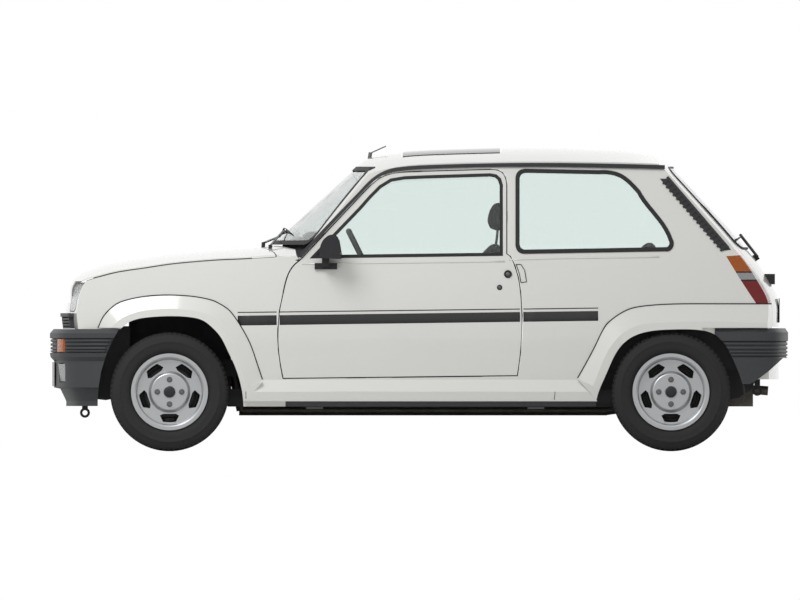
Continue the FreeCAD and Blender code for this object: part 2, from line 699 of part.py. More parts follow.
def slope_cutter(edge_line, crease_line):
    """All that lies outside a slope from an edge on the skin up to a raised crease."""
    overrun = 0.35
    low_points = []
    high_points = []
    for (edge_x, edge_z), (crease_x, crease_z) in zip(edge_line, crease_line):
        edge = point(edge_x, -half_width(edge_x, edge_z), edge_z)
        crease = point(crease_x, -half_width(crease_x, crease_z) - flare_out, crease_z)
        low_points.append(edge + (edge - crease) * overrun)
        high_points.append(crease + (crease - edge) * overrun)
    slope = Part.makeRuledSurface(smooth(low_points), smooth(high_points))
    return slope.extrude(point(0, -300, 0))


flare_points = 15
front_edge_line = moved(front_flare, front_axle_x, tyre_radius)
front_crease_line = moved(front_crease, front_axle_x, tyre_radius)
rear_edge_line = moved(rear_flare, rear_axle_x, tyre_radius)
rear_crease_line = moved(rear_crease, rear_axle_x, tyre_radius)
front_split = [(front_edge_line[-1][0], skirt_top_z - 12), (front_axle_x + 366, skirt_bottom_z)]
rear_split = [(rear_edge_line[0][0], rear_edge_line[0][1]), (rear_axle_x - 352, skirt_bottom_z)]

front_region = [front_edge_line, [front_edge_line[-1], front_split[1]],
                [front_split[1], (front_edge_line[0][0], skirt_bottom_z)],
                [(front_edge_line[0][0], skirt_bottom_z), front_edge_line[0]]]
front_band = side_slab(-flare_out, 0).common(side_prism(front_region))
front_band = front_band.cut(slope_cutter(evenly(front_edge_line, flare_points),
                                         evenly(front_crease_line, flare_points)))
front_band = front_band.cut(side_prism(front_arch_outline))
front_band = front_band.cut(box(-1800, front_axle_x - 100, -900, 0, 0, 592))
front_band = front_band.cut(parts["front_bumper"])
front_band = main_solid(front_band)

rear_region = [rear_edge_line, [rear_edge_line[-1], (rear_edge_line[-1][0], skirt_bottom_z)],
               [(rear_edge_line[-1][0], skirt_bottom_z), rear_split[1]], [rear_split[1], rear_split[0]]]
rear_band = side_slab(-flare_out, 0).common(side_prism(rear_region))
rear_band = rear_band.cut(slope_cutter(evenly(rear_edge_line, flare_points),
                                       evenly(rear_crease_line, flare_points)))
rear_band = rear_band.cut(side_prism(rear_arch_outline)).cut(beyond_tail)
rear_band = rear_band.cut(box(rear_axle_x + 150, 1900, -900, 0, 0, 592)).cut(parts["rear_bumper"])
rear_band = main_solid(rear_band)
parts["arch_flares"] = Part.makeCompound([front_band, mirrored(front_band).Solids[0], rear_band,
                                          mirrored(rear_band).Solids[0]])

skirt_region = closed([(front_split[0][0], skirt_top_z), front_split[1], rear_split[1],
                       (rear_split[0][0], skirt_top_z)])
skirt_steps = [-900, -500, 0, 500, 900]
skirt = side_slab(-flare_out, 0).common(side_prism(skirt_region))
skirt = skirt.cut(slope_cutter([(x, skirt_top_z) for x in skirt_steps],
                               [(x, skirt_crease_z) for x in skirt_steps]))
skirt = skirt.cut(front_band).cut(rear_band)
skirt = main_solid(skirt)
parts["sill_skirts"] = both_sides(skirt)

# Tailgate, its glass and its fittings
gate = tail_sheet(0, tailgate_wall).common(front_prism(gate_outline(0), 1000, 1900))
gate = gate.common(box(roof_rear_x + shut_gap, 1900, -700, 700, tailgate_bottom_z, 1500))
gate_opening = front_prism(gate_glass_edge(0), 1150, 1620)
gate = gate.cut(gate_opening)
gate_glass = tail_sheet(3, 3 + glass_wall).common(gate_opening)
parts["tailgate"] = gate
parts["tailgate_glass"] = gate_glass

# Rear wiper, handle and plate lamp on the tailgate
wiper_boss = tube(point(1575, 0, 905), point(1624, 0, 936), 16)
wiper_arm = tube(point(1620, 0, 934), point(1540, -270, 1036), 7)
wiper_boss = wiper_boss.fuse(wiper_arm)
gate_handle = box(1630, 1705, -190, 190, 800, 850).cut(tail_sheet(0, 300))
rear_wiper = wiper_boss.cut(tail_sheet(0, 300))
parts["tailgate_fittings"] = Part.makeCompound(solids_of(rear_wiper) + solids_of(gate_handle))

# Pillar vents behind the quarter windows
vent_top = (1178, 1306)
vent_foot = (1470, 966)
vent_outline = closed([(1154, 1306), (1196, 1306), (1494, 966), (1451, 960)])
vent_plate = side_slab(-2, 0).common(side_prism(vent_outline))
vent_slats = 18
vent_slat_width = 11
vent_across = 17
vent_run = unit(vent_top, vent_foot)
vent_length = math.dist(vent_top, vent_foot)
vent_comb = [(vent_top[0] + 5, vent_top[1] + 4)]
for k in range(vent_slats):
    for along in (0, vent_slat_width):
        at = (k + 0.2) * vent_length / vent_slats + along
        root = (vent_top[0] + vent_run[0] * at + 6, vent_top[1] + vent_run[1] * at + 5)
        tip = (vent_top[0] + vent_run[0] * at - vent_across, vent_top[1] + vent_run[1] * at - vent_across)
        vent_comb += [root, tip] if along == 0 else [tip, root]
vent_comb += [(vent_foot[0] + 6, vent_foot[1] + 5), (vent_foot[0] + 16, vent_foot[1] + 13),
              (vent_top[0] + 16, vent_top[1] + 13)]
vent = joined([vent_plate, side_slab(-6, -2).common(side_prism(closed(vent_comb)))]).cut(beyond_tail)
vent = main_solid(vent)
parts["pillar_vents"] = both_sides(vent)

# Door mirrors
mirror_outline = [[(-474, 925), (-476, 965), (-464, 1005), (-445, 1026)],
                  [(-445, 1026), (-420, 1038), (-396, 1033), (-386, 1020)],
                  [(-386, 1020), (-378, 980), (-374, 921)], [(-374, 921), (-474, 925)]]
mirror_head = side_prism(mirror_outline, -905, -765)
mirror_stem = box(-465, -430, -800, -730, 884, 940).fuse(box(-500, -392, -760, -720, 872, 902))
mirror = joined([mirror_head, mirror_stem]).cut(side_slab(0, 400))
mirror = main_solid(mirror)
parts["mirror_left"] = mirror
parts["mirror_right"] = mirrored(mirror)

# Grille below the nose panel
grille_bars = [box(-1800, -1500, -grille_half_y, grille_half_y, z, z + 9) for z in (588, 602, 616, 630)]
grille_posts = [box(-1800, -1500, y - 5, y + 5, 588, grille_top_z)
                for y in (-grille_half_y + 6, -300, -150, 0, 150, 300, grille_half_y - 6)]
grille_net = nose_sheet(-22, 10).common(joined(grille_posts + grille_bars))
trim_bar = nose_sheet(-28, 0).common(box(-1800, -1500, -grille_half_y - 20, grille_half_y + 20, 645, 662))
grille = cut_all(joined([grille_net, trim_bar]), [nose_panel, parts["front_bumper"], parts["front_wings"]])
parts["grille"] = main_solid(grille)

# Indicators and fog lamps in the front bumper
indicator_band = bumper_sweep(front_path, [(2, 537), (2, 477), (40, 477), (40, 537)])
indicator = indicator_band.common(box(-1800, -1600, -632, -532, 400, 600)).cut(parts["front_bumper"])
fog_pocket_band = bumper_sweep(front_path, [(-5, 424), (-5, 331), (34, 331), (34, 424)])
fog_pocket = fog_pocket_band.common(box(-1800, -1600, -612, -468, 300, 430))
parts["front_bumper"] = parts["front_bumper"].cut(fog_pocket).cut(mirrored(fog_pocket))
fog_band = bumper_sweep(front_path, [(14, 419), (24, 336), (34, 336), (34, 419)])
fog = fog_band.common(box(-1800, -1600, -606, -474, 300, 430)).cut(parts["front_bumper"])
parts["bumper_lamps"] = Part.makeCompound(solids_of(both_sides(main_solid(indicator)))
                                          + solids_of(both_sides(main_solid(fog))))

# Floor with toe board, heel board and boot floor, and the tunnel and rails that carry it
floor_z = 212
floor_wall = 6
floor_sheet = box(-560, 800, -720, 720, floor_z, floor_z + floor_wall)
toe_board = side_prism(closed([(-684, 400), (-677, 400), (-554, floor_z + 3), (-560, floor_z)]), -640, 640)
tunnel_half_width = 110
tunnel_wall = 10
heel_board = side_prism(closed([(794, floor_z), (800, floor_z), (846, 392), (840, 396)]), -545, 545)
boot_floor = box(840, 1700, -545, 545, 390, 396).cut(beyond_tail)
tunnel_top_z = 330
tunnel_room = tunnel_half_width - tunnel_wall
tunnel = box(-560, 800, -tunnel_half_width, tunnel_half_width, floor_z, tunnel_top_z)
tunnel = tunnel.cut(box(-600, 840, -tunnel_room, tunnel_room, floor_z - 20, tunnel_top_z - tunnel_wall))
rails = box(-1640, -640, -390, -330, 360, 440).fuse(box(-1640, -640, 330, 390, 360, 440))
rails = rails.fuse(box(-1640, -1590, -390, 390, 360, 440))
rail_foot = closed([(-760, 440), (-690, 440), (-690, 330), (-637, 330), (-556, 214), (-640, 214),
                    (-760, 360)])
for y in (-390, 330):
    rails = rails.fuse(side_prism(rail_foot, y, y + 60))
tow_eye_radius = 12
tow_eye_width = 12
tow_eyes = []
for x, z, top in ((-1600, 185, 362), (1620, 290, 392)):
    ring = tube(point(x, -360 - tow_eye_width / 2, z), point(x, -360 + tow_eye_width / 2, z), 24)
    stem = box(x - 14, x + 14, -360 - tow_eye_width / 2, -360 + tow_eye_width / 2, z, top)
    hole = tube(point(x, -400, z), point(x, -320, z), tow_eye_radius)
    tow_eyes.append(ring.fuse(stem).cut(hole))
floor_sheet = floor_sheet.cut(box(-600, 840, -tunnel_half_width, tunnel_half_width, floor_z - 12, 300))
front_eye, rear_eye = tow_eyes
floor = joined([floor_sheet, toe_board, heel_board, boot_floor, rear_eye])
floor = cut_all(floor, [parts["body_side_left"], parts["body_side_right"], parts["bulkhead"], tail_panel])
parts["floor_pan"] = floor
rails = main_solid(joined([rails, front_eye]).cut(floor).cut(parts["bulkhead"]))
tunnel = main_solid(tunnel.cut(floor))
parts["chassis_members"] = Part.makeCompound([rails, tunnel])
floor_and_frame = [floor, rails, tunnel]


front_house = side_prism(grown(front_arch_outline, 6), -735, -440)
front_house = front_house.cut(side_prism(front_arch_outline, -760, -434))
front_wall = side_prism(front_arch_outline, -440, -434).common(box(-1700, -700, -445, -430, 440, 700))
front_house = front_house.cut(box(-1700, -700, -800, 0, 100, 240)).fuse(front_wall)
front_house = front_house.cut(box(-1700, front_axle_x - 100, -800, 0, 100, 586).common(side_slab(-80, 110)))
front_house = front_house.cut(side_slab(-60, wing_wall))
front_house = cut_all(front_house, [parts["body_side_left"], parts["bulkhead"]] + floor_and_frame)
rear_house = side_prism(grown(rear_arch_outline, 6), -700, -545)
rear_house = rear_house.cut(side_prism(rear_arch_outline, -760, -551))
rear_house = rear_house.cut(box(700, 1800, -800, 0, 100, 240))
rear_house = cut_all(rear_house, [parts["body_side_left"]] + floor_and_frame)
rear_house = rear_house.cut(box(700, 1800, -560, -540, 100, 390)).cut(box(800, 920, -600, -500, 100, 310))
parts["wheelhouses"] = Part.makeCompound(
    solids_of(both_sides(main_solid(front_house)))
    + solids_of(both_sides(main_solid(rear_house))))

# Inside: dashboard, seats, rear bench
dash_outline = [[(-655, 760), (-655, 985)], [(-655, 985), (-620, 1015), (-560, 1026), (-500, 1005)],
                [(-500, 1005), (-455, 960), (-450, 900)], [(-450, 900), (-500, 740)],
                [(-500, 740), (-655, 760)]]
dash = side_prism(dash_outline, -590, 590).cut(in_front_of_screen).cut(screen_sheet(0, 30))
dash = dash.cut(parts["bulkhead"])
parts["dashboard"] = main_solid(dash)


def front_seat(y_middle):
    """A front seat: cushion, raked back and headrest."""
    cushion = [[(-150, 330), (-140, 420), (-80, 470)], [(-80, 470), (60, 462), (250, 440)],
               [(250, 440), (300, 340)], [(300, 340), (-150, 330)]]
    back = [[(210, 420), (270, 800), (318, 985), (345, 1016)], [(345, 1016), (380, 1022), (405, 1000)],
            [(405, 1000), (400, 800), (330, 420)], [(330, 420), (210, 420)]]
    headrest = [[(326, 1050), (320, 1118), (345, 1185), (385, 1204)],
                [(385, 1204), (425, 1190), (436, 1120), (420, 1050)], [(420, 1050), (326, 1050)]]
    pieces = [side_prism(cushion, y_middle - 250, y_middle + 250),
              side_prism(back, y_middle - 245, y_middle + 245),
              side_prism(headrest, y_middle - 125, y_middle + 125),
              tube(point(372, y_middle - 70, 1000), point(372, y_middle - 70, 1060), 7),
              tube(point(372, y_middle + 70, 1000), point(372, y_middle + 70, 1060), 7),
              box(-120, 290, y_middle - 220, y_middle - 190, floor_z + floor_wall, 345),
              box(-120, 290, y_middle + 190, y_middle + 220, floor_z + floor_wall, 345)]
    return joined(pieces)


parts["front_seats"] = Part.makeCompound(solids_of(front_seat(-seat_y)) + solids_of(front_seat(seat_y)))
bench_outline = [[(690, 240), (680, 400), (720, 450)], [(720, 450), (900, 445), (985, 440)],
                 [(985, 440), (1025, 800), (1050, 985), (1080, 1018)],
                 [(1080, 1018), (1120, 1022), (1145, 1000)],
                 [(1145, 1000), (1125, 396)], [(1125, 396), (842, 396)], [(842, 396), (808, 240)],
                 [(808, 240), (690, 240)]]
bench = cut_all(side_prism(bench_outline, -535, 535), floor_and_frame)
parts["rear_bench"] = main_solid(bench)

# Steering wheel and column
wheel_axis = point(*steering_axis)
wheel_middle = point(*steering_centre)
ring_face = Part.Face(Part.makePolygon(
    [wheel_middle + point(0, wheel_rim_radius - 14 + 14 * math.cos(math.radians(a)), 0)
     + wheel_axis * 14 * math.sin(math.radians(a)) for a in range(0, 361, 30)]))
ring = ring_face.revolve(wheel_middle, wheel_axis, 360)
hub = Part.makeCylinder(38, 26, wheel_middle - wheel_axis * 36, wheel_axis)
spokes = []
for angle in (200, 340, 270):
    across = point(0, 1, 0)
    up = wheel_axis.cross(across)
    way = across * math.cos(math.radians(angle)) + up * math.sin(math.radians(angle))
    inner_end = wheel_middle - wheel_axis * 24 + way * 20
    spokes.append(tube(inner_end, wheel_middle + way * (wheel_rim_radius - 14), 9))
shaft = tube(wheel_middle - wheel_axis * 30, wheel_middle - wheel_axis * 110, shaft_radius)
parts["steering_wheel"] = joined([ring, hub, shaft] + spokes)
column = tube(wheel_middle - wheel_axis * 42, wheel_middle - wheel_axis * 330, 30)
shaft_bore = tube(wheel_middle - wheel_axis * 30, wheel_middle - wheel_axis * 116,
                  shaft_radius + running_clearance)
column = column.cut(parts["dashboard"]).cut(shaft_bore)
parts["steering_column"] = main_solid(column)

# Engine and gearbox as one block, exhaust and fuel tank
exhaust_z = 196
engine_mounts = box(-1190, -1110, -330, 330, 380, 420)
drive_shaft = cross_tube(front_axle_x, -594, 594, tyre_radius, 13)
parts["engine"] = joined([box(-1390, -900, -300, 300, 262, 690), engine_mounts, drive_shaft])
down_pipe = tube(point(-899, 60, 420), point(-850, 60, exhaust_z), 24)
exhaust_pipe = tube(point(-862, 60, exhaust_z), point(900, 60, exhaust_z), 24)
silencer = box(1330, 1600, -190, 190, 215, 335)
tail_pipe = tube(point(1590, -150, 296), point(tail_x - 96, -150, 290), 22)
link_pipe = tube(point(890, 60, exhaust_z), point(1340, 60, 260), 24)
hangers = [box(x, x + 20, y - 15, y + 15, 330, 390) for x in (1360, 1560) for y in (-120, 120)]
exhaust = joined([exhaust_pipe, down_pipe, link_pipe, silencer, tail_pipe] + hangers)
exhaust = cut_all(exhaust, floor_and_frame + [parts["engine"], parts["tail_panel"], parts["rear_bumper"]])
parts["exhaust"] = main_solid(exhaust)
parts["fuel_tank"] = box(920, 1120, -330, -20, 240, 390)


# Wheels
def wheel_tyre(x, y):
    """A tyre: a ring of flat bands about the axle, standing on one of them."""
    half = tyre_width / 2
    bead = bead_half_width - 0.3
    left_profile = [(rim_barrel + 0.8, bead), (rim_flange + 1, bead), (206, half - 3), (238, half),
                    (270, half - 13), (tyre_radius, half - 34)]
    profile = [(radius, -across) for radius, across in left_profile]
    profile += [(radius, across) for radius, across in reversed(left_profile)]
    rings = []
    for k in range(tyre_facets):
        angle = 2 * math.pi * (k + 0.5) / tyre_facets
        stretch = 1 / math.cos(math.pi / tyre_facets)
        rings.append([point(x + radius * stretch * math.sin(angle), y + across,
                            tyre_radius - radius * stretch * math.cos(angle)) for radius, across in profile])
    faces = []
    for k in range(tyre_facets):
        here = rings[k]
        ahead = rings[(k + 1) % tyre_facets]
        for i in range(len(profile)):
            j = (i + 1) % len(profile)
            faces.append(Part.Face(Part.makePolygon([here[i], here[j], ahead[j], ahead[i], here[i]])))
    tyre = Part.Solid(Part.Shell(faces))
    if tyre.Volume < 0:
        tyre.reverse()
    return tyre


spoke_count = 5
spoke_angle = 360 / spoke_count


def wheel_rim(x, y, side):
    """An alloy wheel with five spokes, where side is -1 on the left of the car."""
    lip = bead_half_width + flange_wall
    profile = [(rim_flange, lip), (168, lip), (161, lip - 5), (154, lip - 30), (100, lip - 32),
               (88, lip - 14), (84, lip - 12), (30, lip - 12), (28, lip - 6), (0, lip - 6), (0, 12),
               (84, 12), (100, 20), (150, -2), (154, -lip + 12), (161, -lip + 2), (168, -lip),
               (rim_flange, -lip), (rim_flange, -bead_half_width), (rim_barrel, -bead_half_width),
               (rim_barrel, bead_half_width), (rim_flange, bead_half_width)]
    corners = [point(x, y + side * across, tyre_radius + radius) for radius, across in profile]
    centre = point(x, y, tyre_radius)
    axle = point(0, 1, 0)
    rim = Part.Face(Part.makePolygon(corners + [corners[0]])).revolve(centre, axle, 360)
    if rim.Volume < 0:
        rim.reverse()
    rim.rotate(centre, axle, spoke_angle)
    window = closed([(x - 30, tyre_radius - 146), (x + 30, tyre_radius - 146), (x + 46, tyre_radius - 113),
                     (x + 30, tyre_radius - 105), (x - 30, tyre_radius - 105), (x - 46, tyre_radius - 113)])
    hole = side_prism(window, y + min(0, side * 100), y + max(0, side * 100))
    for k in range(spoke_count):
        rim = rim.cut(hole)
        hole.rotate(centre, axle, spoke_angle)
    return rim


axle_bore = 20.05
bolt_count = 4
bolt_circle_radius = 58.5
bolt_hole_radius = 6.5
for name, x, side in (("front_left", front_axle_x, -1), ("front_right", front_axle_x, 1),
                      ("rear_left", rear_axle_x, -1), ("rear_right", rear_axle_x, 1)):
    y = side * track / 2
    rim = wheel_rim(x, y, side)
    bore = tube(point(x, y - side * 100, tyre_radius), point(x, y + side * 50, tyre_radius), axle_bore)
    for k in range(bolt_count):
        angle = 2 * math.pi * k / bolt_count
        hole_x = x + bolt_circle_radius * math.cos(angle)
        hole_z = tyre_radius + bolt_circle_radius * math.sin(angle)
        bolt_hole = tube(point(hole_x, y, hole_z), point(hole_x, y + side * 100, hole_z), bolt_hole_radius)
        rim = rim.cut(bolt_hole)
    parts["rim_" + name] = rim.cut(bore)
    parts["tyre_" + name] = wheel_tyre(x, y)

# Knuckles with their brake discs, turning about upright kingpins
kingpin_y = track / 2 - 36
stub_radius = 20
pin_radius = 8


def knuckle(side):
    y = side * track / 2
    disc = cross_tube(front_axle_x, y + side * 2, y - side * 12, tyre_radius, 118)
    stub = cross_tube(front_axle_x, y - side * 40, y + side * 48, tyre_radius, stub_radius)
    carrier = box(front_axle_x - 45, front_axle_x + 45, min(side * (kingpin_y - 22), side * (kingpin_y + 24)),
                  max(side * (kingpin_y - 22), side * (kingpin_y + 24)), tyre_radius - 120, tyre_radius + 120)
    pin = tube(point(front_axle_x, side * kingpin_y, tyre_radius - 144),
               point(front_axle_x, side * kingpin_y, tyre_radius + 144), pin_radius)
    return joined([disc, stub, carrier, pin])


parts["knuckle_left"] = knuckle(-1)
parts["knuckle_right"] = knuckle(1)


def front_arms(side):
    """Lower and upper wishbones of one front wheel."""
    arms = []
    hole = tube(point(front_axle_x, side * kingpin_y, 0), point(front_axle_x, side * kingpin_y, 600),
                pin_radius + running_clearance)
    for z, inner_y in ((tyre_radius - 140, 325), (tyre_radius + 126, 380)):
        plan = closed([(front_axle_x - 22, side * (kingpin_y + 16)),
                       (front_axle_x + 22, side * (kingpin_y + 16)),
                       (front_axle_x + 30, side * 520), (front_axle_x + 110, side * inner_y),
                       (front_axle_x - 110, side * inner_y), (front_axle_x - 30, side * 520)])
        arms.append(plan_prism(plan, z, z + 14).cut(hole))
    return arms


front_beam = box(front_axle_x - 130, front_axle_x + 130, -328, 328, 140, 200)
tower_y = 343
towers = [box(front_axle_x - 60, front_axle_x + 60, side * tower_y - 15, side * tower_y + 15, 145, 360)
          for side in (-1, 1)]
rear_arm_y = 560
drum_radius = 100
rear_tube = cross_tube(870, -545, 545, 262, 30)
arm_outline = closed([(838, 232), (900, 232), (1240, 255), (1240, 315), (1170, 315), (838, 292)])
trailing = []
for side in (-1, 1):
    trailing.append(side_prism(arm_outline, side * rear_arm_y - 22, side * rear_arm_y + 22))
    stub_end_y = side * (track / 2 + 48)
    drum_end_y = side * (track / 2 + 2)
    trailing.append(cross_tube(rear_axle_x, side * rear_arm_y, stub_end_y, tyre_radius, stub_radius))
    trailing.append(cross_tube(rear_axle_x, side * (rear_arm_y + 22), drum_end_y, tyre_radius, drum_radius))
front_set = joined([front_beam] + towers + [arm for side in (-1, 1) for arm in front_arms(side)])
front_set = cut_all(front_set, floor_and_frame)
front_set = front_set.cut(cross_tube(front_axle_x, -500, 500, tyre_radius, 22))
rear_set = joined([rear_tube] + trailing)
parts["suspension"] = Part.makeCompound(solids_of(front_set) + solids_of(rear_set))

# Roof aerial and windscreen wipers
aerial_foot = tube(point(-238, 0, 1398), point(-232, 0, 1432), 9)
aerial_rod = tube(point(-234, 0, 1428), point(-158, 0, 1462), 3)
parts["aerial"] = aerial_foot.fuse(aerial_rod).cut(parts["roof"])
wiper_pivots = [point(-714, -420, 950), point(-748, 60, 950)]
wiper_knees = [point(-712, -420, 990), point(-745, 60, 1002)]
wiper_tips = [point(-648, -90, 1058), point(-588, 390, 1062)]
wipers = []
for pivot, knee, tip in zip(wiper_pivots, wiper_knees, wiper_tips):
    arm = joined([tube(pivot, knee, 9), tube(knee - point(0, 0, 4), tip, 5)])
    arm = arm.cut(in_front_of_screen.common(bonnet_sheet(0, 60))).cut(screen_sheet(-4, 60))
    wipers.append(main_solid(arm))
parts["wipers"] = Part.makeCompound(wipers)

os.makedirs("parts", exist_ok=True)
for name in sorted(parts):
    parts[name].exportStep("parts/" + name + ".step")
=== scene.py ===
import bpy
import bmesh
import math
from mathutils import Matrix, Vector


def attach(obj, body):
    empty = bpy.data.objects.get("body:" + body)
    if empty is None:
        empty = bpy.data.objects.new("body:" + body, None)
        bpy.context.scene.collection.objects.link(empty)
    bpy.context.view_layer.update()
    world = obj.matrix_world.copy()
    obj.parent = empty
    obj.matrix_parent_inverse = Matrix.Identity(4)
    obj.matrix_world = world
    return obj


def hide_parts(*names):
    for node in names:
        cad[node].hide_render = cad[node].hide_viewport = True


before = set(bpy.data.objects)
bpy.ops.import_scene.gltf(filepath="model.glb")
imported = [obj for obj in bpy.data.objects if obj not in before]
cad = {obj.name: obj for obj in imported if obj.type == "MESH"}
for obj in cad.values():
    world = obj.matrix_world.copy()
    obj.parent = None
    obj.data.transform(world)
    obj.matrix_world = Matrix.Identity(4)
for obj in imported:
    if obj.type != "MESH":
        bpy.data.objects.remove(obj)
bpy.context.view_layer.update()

# Sizes of the car in metres, the same as in the model's source
FRONT_AXLE_X = -1.195
REAR_AXLE_X = 1.207
TYRE_RADIUS = 0.285
WHEEL_Y = 0.686
BODY_HALF_WIDTH = 0.762

# How pieces are modelled: the primitive that a line starts from, and the distance at which points merge
LINE_START_SIZE = 0.001
MERGE_DISTANCE = 0.00001


def half_width(x, z):
    """Distance from the car's centre plane to its side surface."""
    front = max(0.0, (-0.5 - x) / 1.2)
    rear = max(0.0, (x - 0.5) / 1.23)
    width = BODY_HALF_WIDTH - 0.060 * front ** 2 - 0.052 * rear ** 2
    if z < 0.6:
        return width - 0.030 * ((0.6 - z) / 0.385) ** 3
    if z < 0.93:
        return width - 0.026 * ((z - 0.6) / 0.33) ** 2
    rise = z - 0.93
    belt_slope = 0.052 / 0.33
    turned = rise ** 2 / 0.16 if rise < 0.08 else rise - 0.04
    return width - 0.026 - belt_slope * rise - (0.29 - belt_slope) * turned


# Modelling as by hand: a line is drawn point by point in edit mode, then spun, filled or extruded
def start_line(places):
    """Opens edit mode on one point and extrudes it from place to place."""
    for made in bpy.context.selected_objects:
        made.select_set(False)
    bpy.ops.mesh.primitive_plane_add(size=LINE_START_SIZE, enter_editmode=True, location=(0, 0, 0))
    bpy.ops.mesh.select_mode(type="VERT")
    bpy.ops.mesh.merge(type="CENTER")
    here = Vector(places[0])
    bpy.ops.transform.translate(value=here)
    for place in places[1:]:
        bpy.ops.mesh.extrude_region_move(TRANSFORM_OT_translate={"value": Vector(place) - here})
        here = Vector(place)
    bpy.ops.mesh.select_all(action="SELECT")


def close_line():
    """Joins a line's last point to its first: the two points that have one edge."""
    mesh = bpy.context.edit_object.data
    shape = bmesh.from_edit_mesh(mesh)
    for point in shape.verts:
        point.select_set(len(point.link_edges) == 1)
    shape.select_flush_mode()
    bmesh.update_edit_mesh(mesh)
    bpy.ops.mesh.edge_face_add()
    bpy.ops.mesh.select_all(action="SELECT")


def end_shaping(name, body, material, smooth):
    """Leaves edit mode with merged points and outward faces, and names the piece."""
    bpy.ops.mesh.select_all(action="SELECT")
    bpy.ops.mesh.remove_doubles(threshold=MERGE_DISTANCE)
    bpy.ops.mesh.normals_make_consistent(inside=False)
    bpy.ops.object.mode_set(mode="OBJECT")
    made = bpy.context.object
    made.name = made.data.name = name
    made.data.materials.append(material)
    if smooth:
        bpy.ops.object.shade_smooth()
    made.select_set(False)
    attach(made, body)
    return made


def piece(name, points, faces, body, material, smooth=True):
    """A piece laid on the car's curved surfaces or run along a line, so its points are worked out."""
    mesh = bpy.data.meshes.new(name)
    mesh.from_pydata([tuple(p) for p in points], [], faces)
    work = bmesh.new()
    work.from_mesh(mesh)
    bmesh.ops.remove_doubles(work, verts=work.verts, dist=MERGE_DISTANCE)
    bmesh.ops.recalc_face_normals(work, faces=work.faces)
    work.to_mesh(mesh)
    work.free()
    made = bpy.data.objects.new(name, mesh)
    bpy.context.scene.collection.objects.link(made)
    made.data.materials.append(material)
    if smooth:
        for polygon in mesh.polygons:
            polygon.use_smooth = True
    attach(made, body)
    return made


def wall(made, thick):
    """Thickens a sheet evenly about itself."""
    modifier = made.modifiers.new("wall", "SOLIDIFY")
    modifier.thickness = thick
    modifier.offset = 0.0


def soften(made, width, angle=40, segments=2):
    """Rounded edges with smooth shading between them."""
    bevel = made.modifiers.new("edges", "BEVEL")
    bevel.width = width
    bevel.segments = segments
    bevel.limit_method = "ANGLE"
    bevel.angle_limit = math.radians(angle)
    bevel.harden_normals = True
    return made


def grid_faces(rows, columns, closed_rows=False, closed_columns=False):
    """Four-sided faces between points that lie in rows, joined round where rows or columns close."""
    faces = []
    for i in range(rows if closed_rows else rows - 1):
        for j in range(columns if closed_columns else columns - 1):
            a = i * columns + j
            b = i * columns + (j + 1) % columns
            c = ((i + 1) % rows) * columns + (j + 1) % columns
            d = ((i + 1) % rows) * columns + j
            faces.append((a, b, c, d))
    return faces


def side_strip(name, line, widths, lift, thick, body, side, material):
    """A strip laid on the side surface along (x, z) points, with its width at each point."""
    rings = []
    for i, (x, z) in enumerate(line):
        x0, z0 = line[max(i - 1, 0)]
        x1, z1 = line[min(i + 1, len(line) - 1)]
        length = math.hypot(x1 - x0, z1 - z0)
        across = (-(z1 - z0) / length, (x1 - x0) / length)
        half = widths[i] / 2
        ring = []
        for off, out in (
                (-half, lift), (-half * 0.8, lift + thick), (half * 0.8, lift + thick), (half, lift)):
            px = x + across[0] * off
            pz = z + across[1] * off
            ring.append((px, side * (half_width(px, pz) + out), pz))
        rings.append(ring)
    points = [p for ring in rings for p in ring]
    faces = grid_faces(len(rings), 4, closed_columns=True)
    last = (len(rings) - 1) * 4
    faces += [(0, 1, 2, 3), (last, last + 1, last + 2, last + 3)]
    return piece(name, points, faces, body, material)


def smooth_loop(runs, step=0.03):
    """One closed loop of (x, z) points through runs that follow each other; long runs get more points."""
    loop = []
    for run in runs:
        for (x0, z0), (x1, z1) in zip(run, run[1:]):
            count = max(1, int(math.hypot(x1 - x0, z1 - z0) / step))
            loop += [(x0 + (x1 - x0) * k / count, z0 + (z1 - z0) * k / count) for k in range(count)]
    return loop


def offset_loop(loop, distance):
    """A loop moved out by a distance, or in where it is negative."""
    count = len(loop)
    area = sum(loop[i - 1][0] * loop[i][1] - loop[i][0] * loop[i - 1][1] for i in range(count))
    turn = 1 if area > 0 else -1
    moved = []
    for i in range(count):
        (xa, za), (xb, zb), (xc, zc) = loop[i - 1], loop[i], loop[(i + 1) % count]
        la, lb = math.hypot(xb - xa, zb - za), math.hypot(xc - xb, zc - zb)
        nx = turn * ((zb - za) / la + (zc - zb) / lb)
        nz = -turn * ((xb - xa) / la + (xc - xb) / lb)
        scale = 2 * distance / max(nx * nx + nz * nz, 0.6)
        moved.append((xb + nx * scale, zb + nz * scale))
    return moved


def side_ring(name, loop, outer, inner, deep, proud, body, side, material):
    """A band round a loop on the side surface; deep is inwards from the surface, proud outwards."""
    rings = []
    wide, narrow = offset_loop(loop, outer), offset_loop(loop, inner)
    for (xo, zo), (xi, zi) in zip(wide, narrow):
        rings.append(
            [(xo, side * (half_width(xo, zo) - deep), zo), (xo, side * (half_width(xo, zo) + proud), zo),
             (xi, side * (half_width(xi, zi) + proud), zi), (xi, side * (half_width(xi, zi) - deep), zi)])
    points = [p for ring in rings for p in ring]
    return piece(name, points, grid_faces(len(rings), 4, True, True), body, material, smooth=False)


